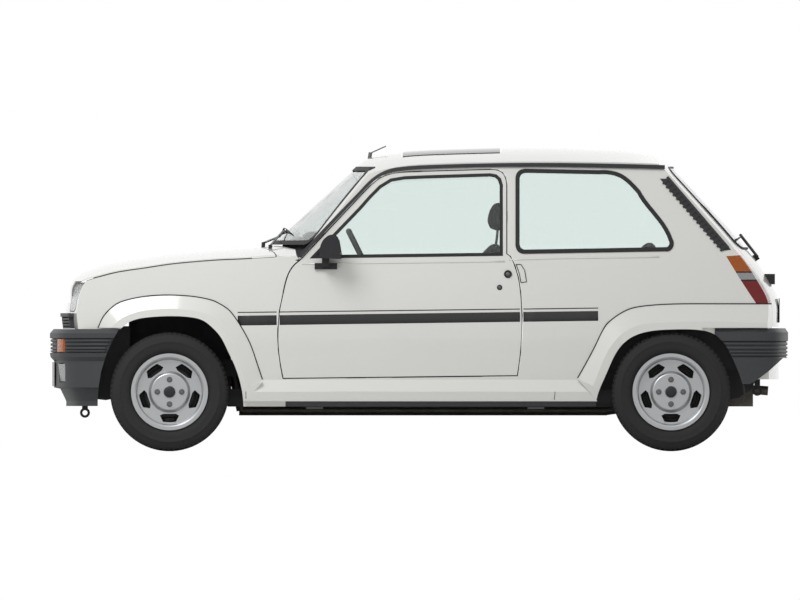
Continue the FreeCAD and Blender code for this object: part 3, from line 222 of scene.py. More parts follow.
def turned(name, profile, centre, axis, body, material, segments=48, closed_profile=False):
    """A body of revolution: profile points are (radius, distance along the axis)."""
    axis = Vector(axis).normalized()
    across = axis.orthogonal().normalized()
    start_line([Vector(centre) + axis * along + across * radius for radius, along in profile])
    if closed_profile:
        close_line()
    bpy.ops.mesh.spin(steps=segments, angle=2 * math.pi, center=centre, axis=axis)
    return end_shaping(name, body, material, True)


def tube_along(name, line, radius, body, material, closed=False, segments=10):
    """A cord or pipe of one radius through points."""
    line = [Vector(p) for p in line]
    count = len(line)
    points = []
    across = None
    for i in range(count):
        ahead = line[(i + 1) % count] if closed else line[min(i + 1, count - 1)]
        behind = line[i - 1] if closed or i else line[0]
        way = (ahead - behind).normalized()
        across = way.orthogonal() if across is None else across - way * across.dot(way)
        across.normalize()
        third = way.cross(across)
        for k in range(segments):
            angle = 2 * math.pi * k / segments
            points.append(line[i] + (across * math.cos(angle) + third * math.sin(angle)) * radius)
    faces = grid_faces(count, segments, closed, True)
    if not closed:
        faces += [tuple(range(segments)), tuple(range((count - 1) * segments, count * segments))]
    return piece(name, points, faces, body, material)


def profile_block(name, profile, y0, y1, body, material, edge=0.004):
    """A moulding: a side profile carried straight across, with rounded edges."""
    start_line([(x, y0, z) for x, z in profile])
    bpy.ops.mesh.edge_face_add()
    bpy.ops.mesh.extrude_region_move(TRANSFORM_OT_translate={"value": (0, y1 - y0, 0)})
    made = end_shaping(name, body, material, False)
    soften(made, edge, 25, 3)
    return made


# Materials
def linear(code):
    """A colour written in sRGB hex, as Blender's linear values."""
    values = [int(code[i:i + 2], 16) / 255 for i in (0, 2, 4)]
    return tuple(v / 12.92 if v <= 0.04045 else ((v + 0.055) / 1.055) ** 2.4 for v in values) + (1.0,)


def add(material, kind, inputs=None, **settings):
    """A new node of a material or the world; inputs are numbers or other nodes' outputs."""
    made = material.node_tree.nodes.new(kind)
    for name, value in settings.items():
        setattr(made, name, value)
    for name, value in (inputs or {}).items():
        if isinstance(value, bpy.types.NodeSocket):
            material.node_tree.links.new(value, made.inputs[name])
        else:
            made.inputs[name].default_value = value
    return made


def finish(
        name, colour, roughness, tint=0.04, patch=120.0, grain=1.0, relief=0.05, strength=0.4,
        rough_spread=0.05, second=None, **sockets):
    """A surface with slightly uneven colour and gloss and a fine relief; patch, grain and relief in mm."""
    material = bpy.data.materials.new(name)
    material.use_nodes = True
    tree = material.node_tree
    shader = tree.nodes["Principled BSDF"].inputs
    base = linear(colour)
    shader["Base Color"].default_value = base
    shader["Roughness"].default_value = roughness
    for socket in (
            "Metallic", "Coat Weight", "Coat Roughness", "Transmission Weight", "IOR", "Sheen Weight",
            "Sheen Roughness"):
        key = socket.lower().replace(" ", "_")
        if key in sockets:
            shader[socket].default_value = sockets[key]
    place = add(material, "ShaderNodeTexCoord").outputs["Object"]
    cloud = add(
        material, "ShaderNodeTexNoise",
        {"Vector": place, "Scale": 1000.0 / patch, "Detail": 4.0, "Roughness": 0.6}).outputs["Fac"]
    if tint or second:
        other = linear(second) if second else tuple(v * (1 - 4 * tint) for v in base[:3]) + (1.0,)
        mix = add(material, "ShaderNodeMix", {"Factor": cloud}, data_type="RGBA")
        mix.inputs["A"].default_value = base
        mix.inputs["B"].default_value = other
        tree.links.new(mix.outputs["Result"], shader["Base Color"])
    if rough_spread:
        rough = add(
            material, "ShaderNodeMapRange",
            {"Value": cloud, "To Min": max(0.0, roughness - rough_spread),
             "To Max": roughness + rough_spread})
        tree.links.new(rough.outputs["Result"], shader["Roughness"])
    if relief:
        fine = add(
            material, "ShaderNodeTexNoise",
            {"Vector": place, "Scale": 1000.0 / grain, "Detail": 3.0, "Roughness": 0.5})
        bump = add(
            material, "ShaderNodeBump",
            {"Height": fine.outputs["Fac"], "Strength": strength, "Distance": relief / 1000.0})
        tree.links.new(bump.outputs["Normal"], shader["Normal"])
    return material


def inner_side(material, colour, facing, limit=0.25, roughness=0.8):
    """Turns the faces that look one way into plain trim: facing is a direction."""
    tree = material.node_tree
    shader = tree.nodes["Principled BSDF"]
    normal = add(material, "ShaderNodeTexCoord").outputs["Normal"]
    turn = add(material, "ShaderNodeVectorMath", {1: facing}, operation="DOT_PRODUCT")
    tree.links.new(normal, turn.inputs[0])
    step = add(material, "ShaderNodeMath", {0: turn.outputs["Value"], 1: limit}, operation="GREATER_THAN")
    old = shader.inputs["Base Color"].links[0].from_socket
    mix = add(material, "ShaderNodeMix", {"Factor": step.outputs["Value"]}, data_type="RGBA")
    tree.links.new(old, mix.inputs["A"])
    mix.inputs["B"].default_value = linear(colour)
    tree.links.new(mix.outputs["Result"], shader.inputs["Base Color"])
    old_rough = shader.inputs["Roughness"].links[0].from_socket
    rough = add(material, "ShaderNodeMix", {"Factor": step.outputs["Value"]})
    tree.links.new(old_rough, rough.inputs["A"])
    rough.inputs["B"].default_value = roughness
    tree.links.new(rough.outputs["Result"], shader.inputs["Roughness"])
    return material


BITUMEN_BLACK = "1A1B1D"


def underseal(material, height):
    """Black underseal on everything below a height in metres."""
    tree = material.node_tree
    place = add(material, "ShaderNodeTexCoord").outputs["Object"]
    split = add(material, "ShaderNodeSeparateXYZ", {"Vector": place})
    below = add(material, "ShaderNodeMath", {0: split.outputs["Z"], 1: height}, operation="LESS_THAN")
    shader = tree.nodes["Principled BSDF"]
    mix = add(material, "ShaderNodeMix", {"Factor": below.outputs["Value"]}, data_type="RGBA")
    tree.links.new(shader.inputs["Base Color"].links[0].from_socket, mix.inputs["A"])
    mix.inputs["B"].default_value = linear(BITUMEN_BLACK)
    tree.links.new(mix.outputs["Result"], shader.inputs["Base Color"])
    return material


# Grain that is too fine to show in the picture is drawn coarser, at 1 to 3 mm
def paint(name):
    """Sprayed acrylic enamel: a deep, clear gloss with the faintest orange peel, drawn coarser than it is."""
    return finish(
        name, "ECECE8", 0.24, tint=0.006, patch=400.0, grain=2.2, relief=0.012, strength=0.25,
        coat_weight=0.8, coat_roughness=0.06, rough_spread=0.03)


UNDERSEAL_TOP = 0.2405
white_paint = paint("white_acrylic_enamel_sprayed")
# Enamel outside, dull moulded trim on the faces that look inwards, black bitumen under the sill
side_left_paint = underseal(
    inner_side(paint("white_enamel_left_with_trim"), "3A3B3D", (0, 1, 0)), UNDERSEAL_TOP)
side_right_paint = underseal(
    inner_side(paint("white_enamel_right_with_trim"), "3A3B3D", (0, -1, 0)), UNDERSEAL_TOP)
# Enamel above, pale perforated vinyl headlining on the faces that look down
roof_paint = inner_side(paint("white_enamel_with_vinyl_headlining"), "B9B7B0", (0, 0, -1))
# Brushed bitumen underseal, thick and dull with soft lumps, and felt matting on the faces that look up
floor_paint = inner_side(
    finish("grey_bitumen_underseal_brushed", "3B3D3F", 0.75, grain=3.0, relief=0.4, tint=0.05), "26272A",
    (0, 0, 1), 0.5, 0.95)
# Moulded polypropylene: dark grey, with a fine leather grain that scatters the light
bumper_plastic = finish("dark_grey_polypropylene_moulded", "3A3C3F", 0.55, grain=0.9, relief=0.12, tint=0.03)
# Moulded ABS: smoother than polypropylene, with a satin sheen
trim_black = finish("black_abs_satin_moulded", "15161A", 0.45, grain=1.2, relief=0.04, tint=0.03)
# Vinyl film laid on the paint: flat, black, with a thin clear sheen
stripe_black = finish("black_vinyl_film", "0E0F11", 0.38, grain=2.0, relief=0.01, tint=0.02, coat_weight=0.3)
# Extruded EPDM rubber: matt black, with the dusty bloom of old window seals
seal_rubber = finish("black_epdm_rubber_extruded", "101113", 0.68, grain=0.8, relief=0.05, tint=0.04)
# Vulcanised tyre rubber: dull, a little brown where it is dusty
tyre_rubber = finish(
    "black_tyre_rubber_vulcanised", "1B1C1D", 0.82, grain=1.6, relief=0.2, tint=0.06, second="262625")
# Cast aluminium under silver lacquer: metallic, softly blurred highlights
alloy_paint = finish(
    "silver_cast_aluminium_lacquered", "B9BBBD", 0.36, metallic=0.75, grain=0.5, relief=0.01, tint=0.02)
# Zinc-plated steel gone dull, mottled by handling
steel_dull = finish(
    "dull_steel_zinc_plated", "77787A", 0.5, metallic=0.9, grain=0.7, relief=0.04, second="5E5B58")
# Sand-cast iron: dark grey and rough like the mould's sand
iron_cast = finish(
    "grey_cast_iron_sand_cast", "47484A", 0.7, metallic=0.6, grain=1.8, relief=0.3, second="393A3B")
# Dipped black chassis enamel on pressed steel: half dull, slightly wavy
chassis_black = finish("black_chassis_enamel_dipped", "1C1D1F", 0.5, grain=2.0, relief=0.08, tint=0.04)
# Mild steel stained by heat: straw and blue-grey patches
exhaust_steel = finish("mild_steel_heat_stained", "7A756E", 0.5, metallic=0.85, second="504B46", patch=60.0)
# Padded vinyl with a coarse leather grain, dull so that it doesn't mirror in the windscreen
dash_grain = finish("dark_vinyl_padded_grained", "2A2B2E", 0.7, grain=1.1, relief=0.2, tint=0.04)
# Moulded polyurethane skin of the steering wheel: soft sheen, fine grain
wheel_skin = finish("black_polyurethane_skin_moulded", "1A1A1B", 0.5, grain=0.9, relief=0.12, tint=0.03)


def clear_glass(name, colour, roughness, transmission=1.0):
    """Glass or clear plastic: one even tint, no relief of its own."""
    return finish(
        name, colour, roughness, tint=0.0, relief=0.0, rough_spread=0.0, transmission_weight=transmission,
        ior=1.45)


# Toughened float glass, faintly green at its edges, and the same glass smoked for the roof
window_glass = clear_glass("clear_float_glass_toughened", "EEF5F3", 0.0)
smoked_glass = clear_glass("smoked_float_glass_toughened", "24282B", 0.05, transmission=0.6)


def fluted(name, colour, pitch, transmission, across="Y"):
    """Lens glass with upright flutes of a pitch in mm."""
    material = clear_glass(name, colour, 0.08, transmission=transmission)
    tree = material.node_tree
    place = add(material, "ShaderNodeTexCoord").outputs["Object"]
    split = add(material, "ShaderNodeSeparateXYZ", {"Vector": place})
    turn = add(
        material, "ShaderNodeMath", {0: split.outputs[across], 1: 2 * math.pi * 1000 / pitch},
        operation="MULTIPLY")
    wave = add(material, "ShaderNodeMath", {0: turn.outputs["Value"]}, operation="SINE")
    bump = add(
        material, "ShaderNodeBump", {"Height": wave.outputs["Value"], "Strength": 0.5, "Distance": 0.0008})
    tree.links.new(bump.outputs["Normal"], tree.nodes["Principled BSDF"].inputs["Normal"])
    return material


# Pressed lamp glass: its flutes break the light into upright bands
lamp_glass = fluted("clear_lamp_glass_pressed_fluted", "E8ECEC", 7.0, 0.35)


def tail_lamp_material():
    """Ribbed moulded acrylic: amber over clear over red, with dark lines between them."""
    material = fluted("red_amber_acrylic_moulded_ribbed", "A01414", 5.0, 0.25, "Z")
    tree = material.node_tree
    shader = tree.nodes["Principled BSDF"]
    place = add(material, "ShaderNodeTexCoord").outputs["Object"]
    split = add(material, "ShaderNodeSeparateXYZ", {"Vector": place})
    ramp = add(material, "ShaderNodeValToRGB")
    ramp.color_ramp.interpolation = "CONSTANT"
    stops = [(0.0, "8E1212"), (0.46, "141414"), (0.49, "B4B6B6"), (0.62, "141414"), (0.645, "C9650F")]
    elements = ramp.color_ramp.elements
    while len(elements) < len(stops):
        elements.new(0.5)
    for element, (at, code) in zip(elements, stops):
        element.position = at
        element.color = linear(code)
    height = add(
        material, "ShaderNodeMapRange", {"Value": split.outputs["Z"], "From Min": 0.70, "From Max": 0.95})
    tree.links.new(height.outputs["Result"], ramp.inputs["Fac"])
    tree.links.new(ramp.outputs["Color"], shader.inputs["Base Color"])
    return material


tail_lens = tail_lamp_material()


def bumper_lamp_material():
    """Fluted moulded acrylic: amber indicators above clear fog lamps, told apart by their height."""
    material = fluted("amber_clear_acrylic_moulded_fluted", "D9700F", 5.0, 0.35)
    tree = material.node_tree
    place = add(material, "ShaderNodeTexCoord").outputs["Object"]
    split = add(material, "ShaderNodeSeparateXYZ", {"Vector": place})
    above = add(material, "ShaderNodeMath", {0: split.outputs["Z"], 1: 0.45}, operation="GREATER_THAN")
    mix = add(material, "ShaderNodeMix", {"Factor": above.outputs["Value"]}, data_type="RGBA")
    mix.inputs["A"].default_value = linear("DDE2E2")
    mix.inputs["B"].default_value = linear("D9700F")
    tree.links.new(mix.outputs["Result"], tree.nodes["Principled BSDF"].inputs["Base Color"])
    return material


bumper_lens = bumper_lamp_material()
# Vacuum-metallised aluminium of a reflector: bright, with no grain that shows
chrome = finish(
    "bright_aluminium_vacuum_metallised", "D8DADB", 0.12, metallic=1.0, grain=1.0, relief=0.004, tint=0.01)
# Silvered glass: an even, nearly perfect mirror
mirror_face = finish(
    "silvered_mirror_glass_polished", "E8ECEE", 0.03, metallic=1.0, tint=0.0, relief=0.0, rough_spread=0.0)
# Acrylic sheet of the number plates: white, smooth, half glossy
plate_white = finish(
    "white_acrylic_sheet_pressed", "E6E6E2", 0.35, tint=0.01, patch=60.0, grain=3.0, relief=0.01)
# Nylon loop-pile carpet: no gloss, deep soft bumps
carpet = finish(
    "dark_grey_nylon_loop_pile_tufted", "2B2C2F", 0.95, grain=2.2, relief=0.9, strength=0.8, tint=0.05)
# Matt printed polycarbonate of the gauge faces: nearly black, no shine
gauge_black = finish("black_polycarbonate_matt_printed", "0C0D0E", 0.6, tint=0.02, relief=0.02)
# Crackle enamel of the rocker cover: small raised wrinkles
cover_paint = finish("black_crackle_enamel_stoved", "25272A", 0.55, grain=2.0, relief=0.25, tint=0.03)
# Blow-moulded polyethylene: milky and waxy
bottle_plastic = finish("milky_polyethylene_blow_moulded", "DCDCD4", 0.4, grain=2.0, relief=0.05, tint=0.01)
# Orange lacquer of the gauge needles: even and half glossy
amber_mark = finish("orange_lacquer_printed", "E0651A", 0.5, tint=0.01, relief=0.01)
# Foam-backed PVC of the sun visors: pale, dull, lightly grained
visor_vinyl = finish("pale_grey_pvc_foam_backed", "B9B8B2", 0.7, grain=1.5, relief=0.15, tint=0.02)


def cloth(name, colour, second, thread):
    """Woven wool seat cloth: crossed threads of a width in mm, with a soft sheen at grazing angles."""
    material = finish(name, colour, 0.9, second=second, patch=3.0, sheen_weight=0.3, sheen_roughness=0.5)
    tree = material.node_tree
    place = add(material, "ShaderNodeTexCoord").outputs["Object"]
    split = add(material, "ShaderNodeSeparateXYZ", {"Vector": place})
    waves = []
    for first, second_way in (("X", "Y"), ("Y", "Z")):
        total = add(
            material, "ShaderNodeMath", {0: split.outputs[first], 1: split.outputs[second_way]},
            operation="ADD")
        scaled = add(
            material, "ShaderNodeMath", {0: total.outputs["Value"], 1: 2 * math.pi * 1000 / thread},
            operation="MULTIPLY")
        waves.append(add(material, "ShaderNodeMath", {0: scaled.outputs["Value"]}, operation="SINE"))
    weave = add(
        material, "ShaderNodeMath", {0: waves[0].outputs["Value"], 1: waves[1].outputs["Value"]},
        operation="MULTIPLY")
    bump = add(
        material, "ShaderNodeBump", {"Height": weave.outputs["Value"], "Strength": 0.6, "Distance": 0.0004})
    tree.links.new(bump.outputs["Normal"], tree.nodes["Principled BSDF"].inputs["Normal"])
    return material


# Real threads are 0.6 mm wide; they are drawn at 2.4 mm so that the weave shows
seat_cloth = cloth("charcoal_wool_cloth_woven", "303236", "26282B", 2.4)

looks = {
    "roof": roof_paint, "sunroof": smoked_glass, "tail_lamps": tail_lens, "body_side_left": side_left_paint,
    "body_side_right": side_right_paint, "fixed_glass": window_glass, "window_seals": seal_rubber,
    "drip_rails": trim_black, "door_left": side_left_paint, "door_right": side_right_paint,
    "door_glass_left": window_glass, "door_glass_right": window_glass, "front_wings": white_paint,
    "bonnet": white_paint, "bulkhead": white_paint, "nose_panel": white_paint, "headlamps": lamp_glass,
    "front_bumper": bumper_plastic, "tail_panel": white_paint, "rear_bumper": bumper_plastic,
    "arch_flares": white_paint, "sill_skirts": white_paint, "tailgate": white_paint,
    "tailgate_glass": window_glass, "tailgate_fittings": trim_black, "pillar_vents": trim_black,
    "mirror_left": trim_black, "mirror_right": trim_black, "grille": bumper_plastic,
    "bumper_lamps": bumper_lens, "floor_pan": floor_paint, "chassis_members": floor_paint,
    "wheelhouses": chassis_black, "dashboard": dash_grain, "front_seats": seat_cloth,
    "rear_bench": seat_cloth, "steering_wheel": wheel_skin, "steering_column": dash_grain,
    "engine": iron_cast, "exhaust": exhaust_steel, "fuel_tank": chassis_black, "knuckle_left": iron_cast,
    "knuckle_right": iron_cast, "suspension": chassis_black, "aerial": steel_dull, "wipers": trim_black,
}
for name in ("mirror_left", "mirror_right"):
    soften(cad[name], 0.006, 35, 3)
for corner in ("front_left", "front_right", "rear_left", "rear_right"):
    looks["rim_" + corner] = alloy_paint
    looks["tyre_" + corner] = tyre_rubber
for name, material in looks.items():
    for place in cad[name].material_slots:
        place.material = material

# Outlines on the car's side as (x, z) points, and the rubbers round door and door window
DOOR_FRONT = [(-0.649, 0.352), (-0.661, 0.413), (-0.671, 0.485), (-0.673, 0.581), (-0.666, 0.672),
              (-0.647, 0.763), (-0.618, 0.859), (-0.570, 0.912)]
DOOR_TOP = [(-0.570, 0.912), (-0.283, 1.218), (-0.235, 1.268), (-0.187, 1.307), (-0.139, 1.326),
            (-0.070, 1.335), (0.020, 1.339), (0.340, 1.348), (0.374, 1.345), (0.398, 1.333), (0.412, 1.309),
            (0.418, 1.276), (0.418, 0.945)]
DOOR_REAR = [(0.418, 0.945), (0.436, 0.931), (0.455, 0.892), (0.474, 0.830), (0.484, 0.763), (0.491, 0.650),
             (0.484, 0.476), (0.469, 0.365), (-0.649, 0.352)]
DOOR_WINDOW = [(-0.508, 0.931), (-0.283, 1.165), (-0.235, 1.220), (-0.187, 1.268), (-0.135, 1.300),
               (-0.070, 1.311), (0.020, 1.315), (0.340, 1.325), (0.368, 1.320), (0.386, 1.304),
               (0.395, 1.275), (0.395, 0.943), (-0.508, 0.931)]
door_loop = smooth_loop([DOOR_FRONT, DOOR_TOP, DOOR_REAR])
window_loop = smooth_loop([DOOR_WINDOW])
for side, side_name in ((-1, "left"), (1, "right")):
    weather = side_ring(
        "door_weatherstrip_" + side_name, door_loop, 0.0055, -0.008, 0.021, -0.0145, "body", side,
        seal_rubber)
    frame_seal = side_ring(
        "door_window_rubber_" + side_name, window_loop, 0.007, -0.009, 0.012, 0.0012, "door_" + side_name,
        side, seal_rubber)
    soften(frame_seal, 0.001)

# Stripes along the flanks, in black with a thin line above
BAND_WIDE, PIN_WIDE, FILM_LIFT, FILM_THICK = 0.047, 0.005, 0.0002, 0.0006
BAND_SHARES = {"wing": (-0.868, -0.682), "door": (-0.668, 0.484), "side": (0.500, 0.858)}


def at_x(x, table):
    """The height at x on a line given by (x, z) points."""
    for (x0, z0), (x1, z1) in zip(table, table[1:]):
        if x <= x1 or (x1, z1) == table[-1]:
            return z0 + (z1 - z0) * (x - x0) / (x1 - x0)


band_middle = [(-0.881, 0.626), (0.675, 0.6465), (0.9, 0.6495)]
pin_middle = [(-0.891, 0.665), (0.675, 0.684), (0.9, 0.687)]
waist_middle = [(-0.546, 0.912), (0.412, 0.924), (0.675, 0.931), (1.174, 0.938)]
for side, side_name in ((-1, "left"), (1, "right")):
    for part, (x0, x1) in BAND_SHARES.items():
        body = "door_" + side_name if part == "door" else "body"
        steps = max(4, int((x1 - x0) / 0.05))
        xs = [x0 + (x1 - x0) * k / (steps - 1) for k in range(steps)]
        band = side_strip(
            "stripe_%s_%s" % (part, side_name), [(x, at_x(x, band_middle)) for x in xs], [BAND_WIDE] * steps,
            FILM_LIFT, FILM_THICK, body, side, stripe_black)
        pin = side_strip(
            "stripe_line_%s_%s" % (part, side_name), [(x, at_x(x, pin_middle)) for x in xs],
            [PIN_WIDE] * steps, FILM_LIFT, FILM_THICK, body, side, stripe_black)

# Waist moulding, rubber piping round the flares, locks and handle recesses
PIPING_OUT, PIPING_RADIUS = 0.0010, 0.0026
SKIRT_PROUD, SKIRT_CREASE, JOINT_WIDE, JOINT_THICK, JOINT_LEAN = 0.0304, 0.286, 0.003, 0.0004, 0.004
WAIST_WIDE, WAIST_SUNK, WAIST_PROUD, DOOR_WAIST_DROP, QUARTER_WAIST_DROP = 0.007, 0.0002, 0.0030, 0.014, 0.006
FRONT_FLARE = [(-1.538, 0.591), (-1.514, 0.643), (-1.480, 0.682), (-1.432, 0.715), (-1.336, 0.739),
               (-1.226, 0.749), (-1.097, 0.744), (-1.001, 0.727), (-0.953, 0.706), (-0.905, 0.672),
               (-0.857, 0.605), (-0.810, 0.519), (-0.776, 0.423), (-0.750, 0.345)]
REAR_FLARE = [(0.760, 0.352), (0.800, 0.423), (0.843, 0.504), (0.886, 0.591), (0.920, 0.629), (0.987, 0.673),
              (1.059, 0.694), (1.217, 0.706), (1.451, 0.707), (1.690, 0.707)]
HANDLE_RECESS = [(0.463, 0.897), (0.489, 0.897), (0.508, 0.868), (0.517, 0.811), (0.487, 0.806),
                 (0.479, 0.850)]


def smoothed(line, steps=4):
    """Points on a smooth curve through a line's points."""
    result = []
    for i in range(len(line) - 1):
        a, b = line[max(i - 1, 0)], line[i]
        c, d = line[i + 1], line[min(i + 2, len(line) - 1)]
        for k in range(steps):
            t = k / steps
            result.append(tuple(0.5 * (2 * q + (r - p) * t + (2 * p - 5 * q + 4 * r - s) * t * t
                                       + (3 * q - p - 3 * r + s) * t ** 3) for p, q, r, s in zip(a, b, c, d)))
    return result + [line[-1]]


def on_side(line, side, out):
    """Places on the side surface, or a distance out from it, for (x, z) points."""
    return [(x, side * (half_width(x, z) + out), z) for x, z in line]


for side, side_name in ((-1, "left"), (1, "right")):
    for part, line in (("front", FRONT_FLARE), ("rear", REAR_FLARE)):
        piping = tube_along(
            "flare_piping_%s_%s" % (part, side_name), on_side(smoothed(line), side, PIPING_OUT),
            PIPING_RADIUS, "body", seal_rubber)
    for x, low, high in ((-0.829, 0.252, 0.338), (0.648, 0.248, 0.338)):
        joint = side_strip(
            "skirt_joint_%s_%s" % ("front" if x < 0 else "rear", side_name),
            [(x, low), (x + JOINT_LEAN * (x > 0), SKIRT_CREASE)], [JOINT_WIDE] * 2, SKIRT_PROUD, JOINT_THICK,
            "body", side, seal_rubber)
    for x0, x1, body in ((-0.562, 0.410, "door_" + side_name), (0.432, 1.150, "body")):
        xs = [x0 + (x1 - x0) * k / 12 for k in range(13)]
        waist = side_strip(
            "waist_moulding_%s_%s" % ("door" if x0 < 0 else "quarter", side_name),
            [(x, at_x(x, waist_middle) - (DOOR_WAIST_DROP if x0 < 0 else QUARTER_WAIST_DROP)) for x in xs],
            [WAIST_WIDE] * 13, -WAIST_SUNK, WAIST_PROUD, body, side, white_paint)
    for name, x, z, radius, height in (
            ("door_lock", 0.426, 0.849, 0.019, 0.006), ("key_plug", 0.386, 0.785, 0.013, 0.003)):
        y = half_width(x, z)
        ring = turned(
            "%s_bezel_%s" % (name, side_name),
            [(radius, -0.002), (radius, height * 0.5), (radius * 0.94, height), (radius * 0.66, height),
             (radius * 0.6, height * 0.4), (radius * 0.6, -0.002)],
            (x, side * y, z), (0, side, 0.05), "door_" + side_name, trim_black, 40, True)
        button = turned(
            "%s_button_%s" % (name, side_name),
            [(0.0, height * 0.95), (radius * 0.3, height * 0.93), (radius * 0.5, height * 0.8),
             (radius * 0.58, height * 0.5), (radius * 0.58, -0.002), (0.0, -0.002)],
            (x, side * y, z), (0, side, 0.05), "door_" + side_name, steel_dull, 32)
    lip = side_ring(
        "handle_recess_lip_" + side_name, smooth_loop([HANDLE_RECESS + [HANDLE_RECESS[0]]], 0.01), 0.0,
        -0.0035, 0.002, 0.0022, "body", side, trim_black)
    cup_loop = offset_loop(smooth_loop([HANDLE_RECESS + [HANDLE_RECESS[0]]], 0.01), -0.003)
    cup_points, count = [], len(cup_loop)
    middle = (sum(p[0] for p in cup_loop) / count, sum(p[1] for p in cup_loop) / count)
    for share, out in ((1.0, 0.0003), (0.75, 0.0006), (0.4, 0.0010)):
        for x, z in cup_loop:
            px, pz = middle[0] + (x - middle[0]) * share, middle[1] + (z - middle[1]) * share
            cup_points.append((px, side * (half_width(px, pz) + out), pz))
    cup = piece(
        "handle_flap_" + side_name, cup_points,
        grid_faces(3, count, closed_columns=True) + [tuple(range(2 * count, 3 * count))], "body", white_paint)


# Ribs along the bumpers, laid in their side grooves by looking for the plastic from outside
def found_on(node, origin, way):
    """The first place on a node's surface, looked for from a place in a direction."""
    hit, place = cad[node].ray_cast(Vector(origin), Vector(way).normalized())[:2]
    return place if hit else None


def bumper_ribs(name, node, step, ribs, gaps):
    """Half-round ribs round a bumper; step is -1 at the nose and 1 at the tail, gaps are breaks in |y|."""
    for number, (z, tall, proud) in enumerate(ribs):
        centre = Vector((step * 1.25, 0.0, z))
        run, runs = [], []
        for k in range(241):
            turn = math.radians(-96 + 192 * k / 240)
            way = Vector((step * math.cos(turn), math.sin(turn), 0))
            seen = found_on(node, centre + way * 1.5, -way)
            good = seen and abs(seen.z - z) < 0.001 and (seen - centre).length > 0.35
            if good and any(low < abs(seen.y) < high for low, high in gaps):
                good = False
            if good and run and (seen - run[-1]).length > 0.08:
                runs.append(run)
                run = []
            if good:
                run.append(seen)
            elif run:
                runs.append(run)
                run = []
        runs.append(run)
        for part, run in enumerate(r for r in runs if len(r) > 5):
            points = []
            for i, place in enumerate(run):
                along = run[min(i + 1, len(run) - 1)] - run[max(i - 1, 0)]
                out = Vector((along.y, -along.x, 0)).normalized()
                if out.dot(place - centre) < 0:
                    out = -out
                for up, share in (
                        (-0.5, -0.1), (-0.46, 0.55), (-0.3, 0.95), (0.0, 1.0), (0.3, 0.95), (0.46, 0.55),
                        (0.5, -0.1)):
                    points.append(place + out * proud * share + Vector((0, 0, tall * up)))
            last = (len(run) - 1) * 7
            faces = grid_faces(len(run), 7, closed_columns=True)
            faces += [tuple(range(7)), tuple(range(last, last + 7))]
            rib = piece("%s_%d_%d" % (name, number, part), points, faces, "body", bumper_plastic)


bumper_ribs(
    "front_bumper_rib", "front_bumper", -1,
    [(0.5305, 0.0135, 0.0095), (0.512, 0.0135, 0.0095), (0.494, 0.0135, 0.0095), (0.480, 0.0090, 0.0095)],
    [(0.520, 0.645)])
bumper_ribs(
    "rear_bumper_rib", "rear_bumper", 1,
    [(0.5155, 0.0150, 0.0075), (0.4955, 0.0160, 0.0075), (0.4775, 0.0120, 0.0075), (0.4620, 0.0110, 0.0075)],
    [])

# Tyres with grooved treads, bolts and caps on the wheels
def tyre_profile():
    """(radius, across) points round a tyre with its grooves, from bead to bead."""
    side_wall = [(0.1612, -0.0655), (0.186, -0.0657), (0.192, -0.0725), (0.197, -0.0790), (0.206, -0.0842),
                 (0.220, -0.0865), (0.238, -0.0872), (0.2385, -0.0875), (0.2415, -0.0875), (0.242, -0.0868),
                 (0.255, -0.0838), (0.268, -0.0762), (0.2745, -0.0700), (0.2795, -0.0610)]
    tread = []
    for middle in (-0.0395, -0.0135, 0.0135, 0.0395):
        tread += [(0.2846, middle - 0.0045), (0.2775, middle - 0.0030), (0.2775, middle + 0.0030),
                  (0.2846, middle + 0.0045)]
    shoulder = [(0.2826, -0.0560), (0.2843, -0.0500)]
    far_shoulder = [(r, -a) for r, a in reversed(shoulder)]
    return side_wall + shoulder + tread + far_shoulder + [(r, -a) for r, a in reversed(side_wall)]


def tread_tyre(name, x, y, body):
    """A tyre whose shoulders and ribs are cut across into blocks."""
    profile = tyre_profile()
    blocks = 72
    points = []
    for k in range(blocks * 4):
        cut = k % 4 in (0, 1)
        for radius, across in profile:
            depth = 0.0
            if cut and abs(across) > 0.046 and radius > 0.276:
                depth = 0.0065 * min(1.0, (radius - 0.276) / 0.004)
            skew = 0.5 * abs(across) / 0.0875
            share = (k + (0.5 if k % 4 in (1, 3) else 0.0)) / (blocks * 4)
            turn = 2 * math.pi * (share + skew / (blocks * 2))
            r = radius - depth
            points.append((x + r * math.sin(turn), y + across, TYRE_RADIUS - r * math.cos(turn)))
    faces = grid_faces(blocks * 4, len(profile), True, True)
    made = piece(name, points, faces, body, tyre_rubber)
    made.data.shade_smooth()
    return made


def hex_bolt(x, y, z, side, radius, height):
    """Points and faces of a bolt head with a washer face and a domed top."""
    points = []
    rings = [(radius * 1.12, 0.0), (radius * 1.12, 0.0015), (radius, 0.0018), (radius, height * 0.8),
             (radius * 0.86, height), (radius * 0.3, height)]
    for r, up in rings:
        for k in range(12):
            turn = 2 * math.pi * k / 12
            flat = 1.0 if k % 2 == 0 or up < 0.0016 else math.cos(math.pi / 6)
            points.append((x + r * flat * math.cos(turn), y + side * up, z + r * flat * math.sin(turn)))
    faces = grid_faces(len(rings), 12, False, True)
    faces.append(tuple(range(12)))
    faces.append(tuple(range((len(rings) - 1) * 12, len(rings) * 12)))
    return points, faces


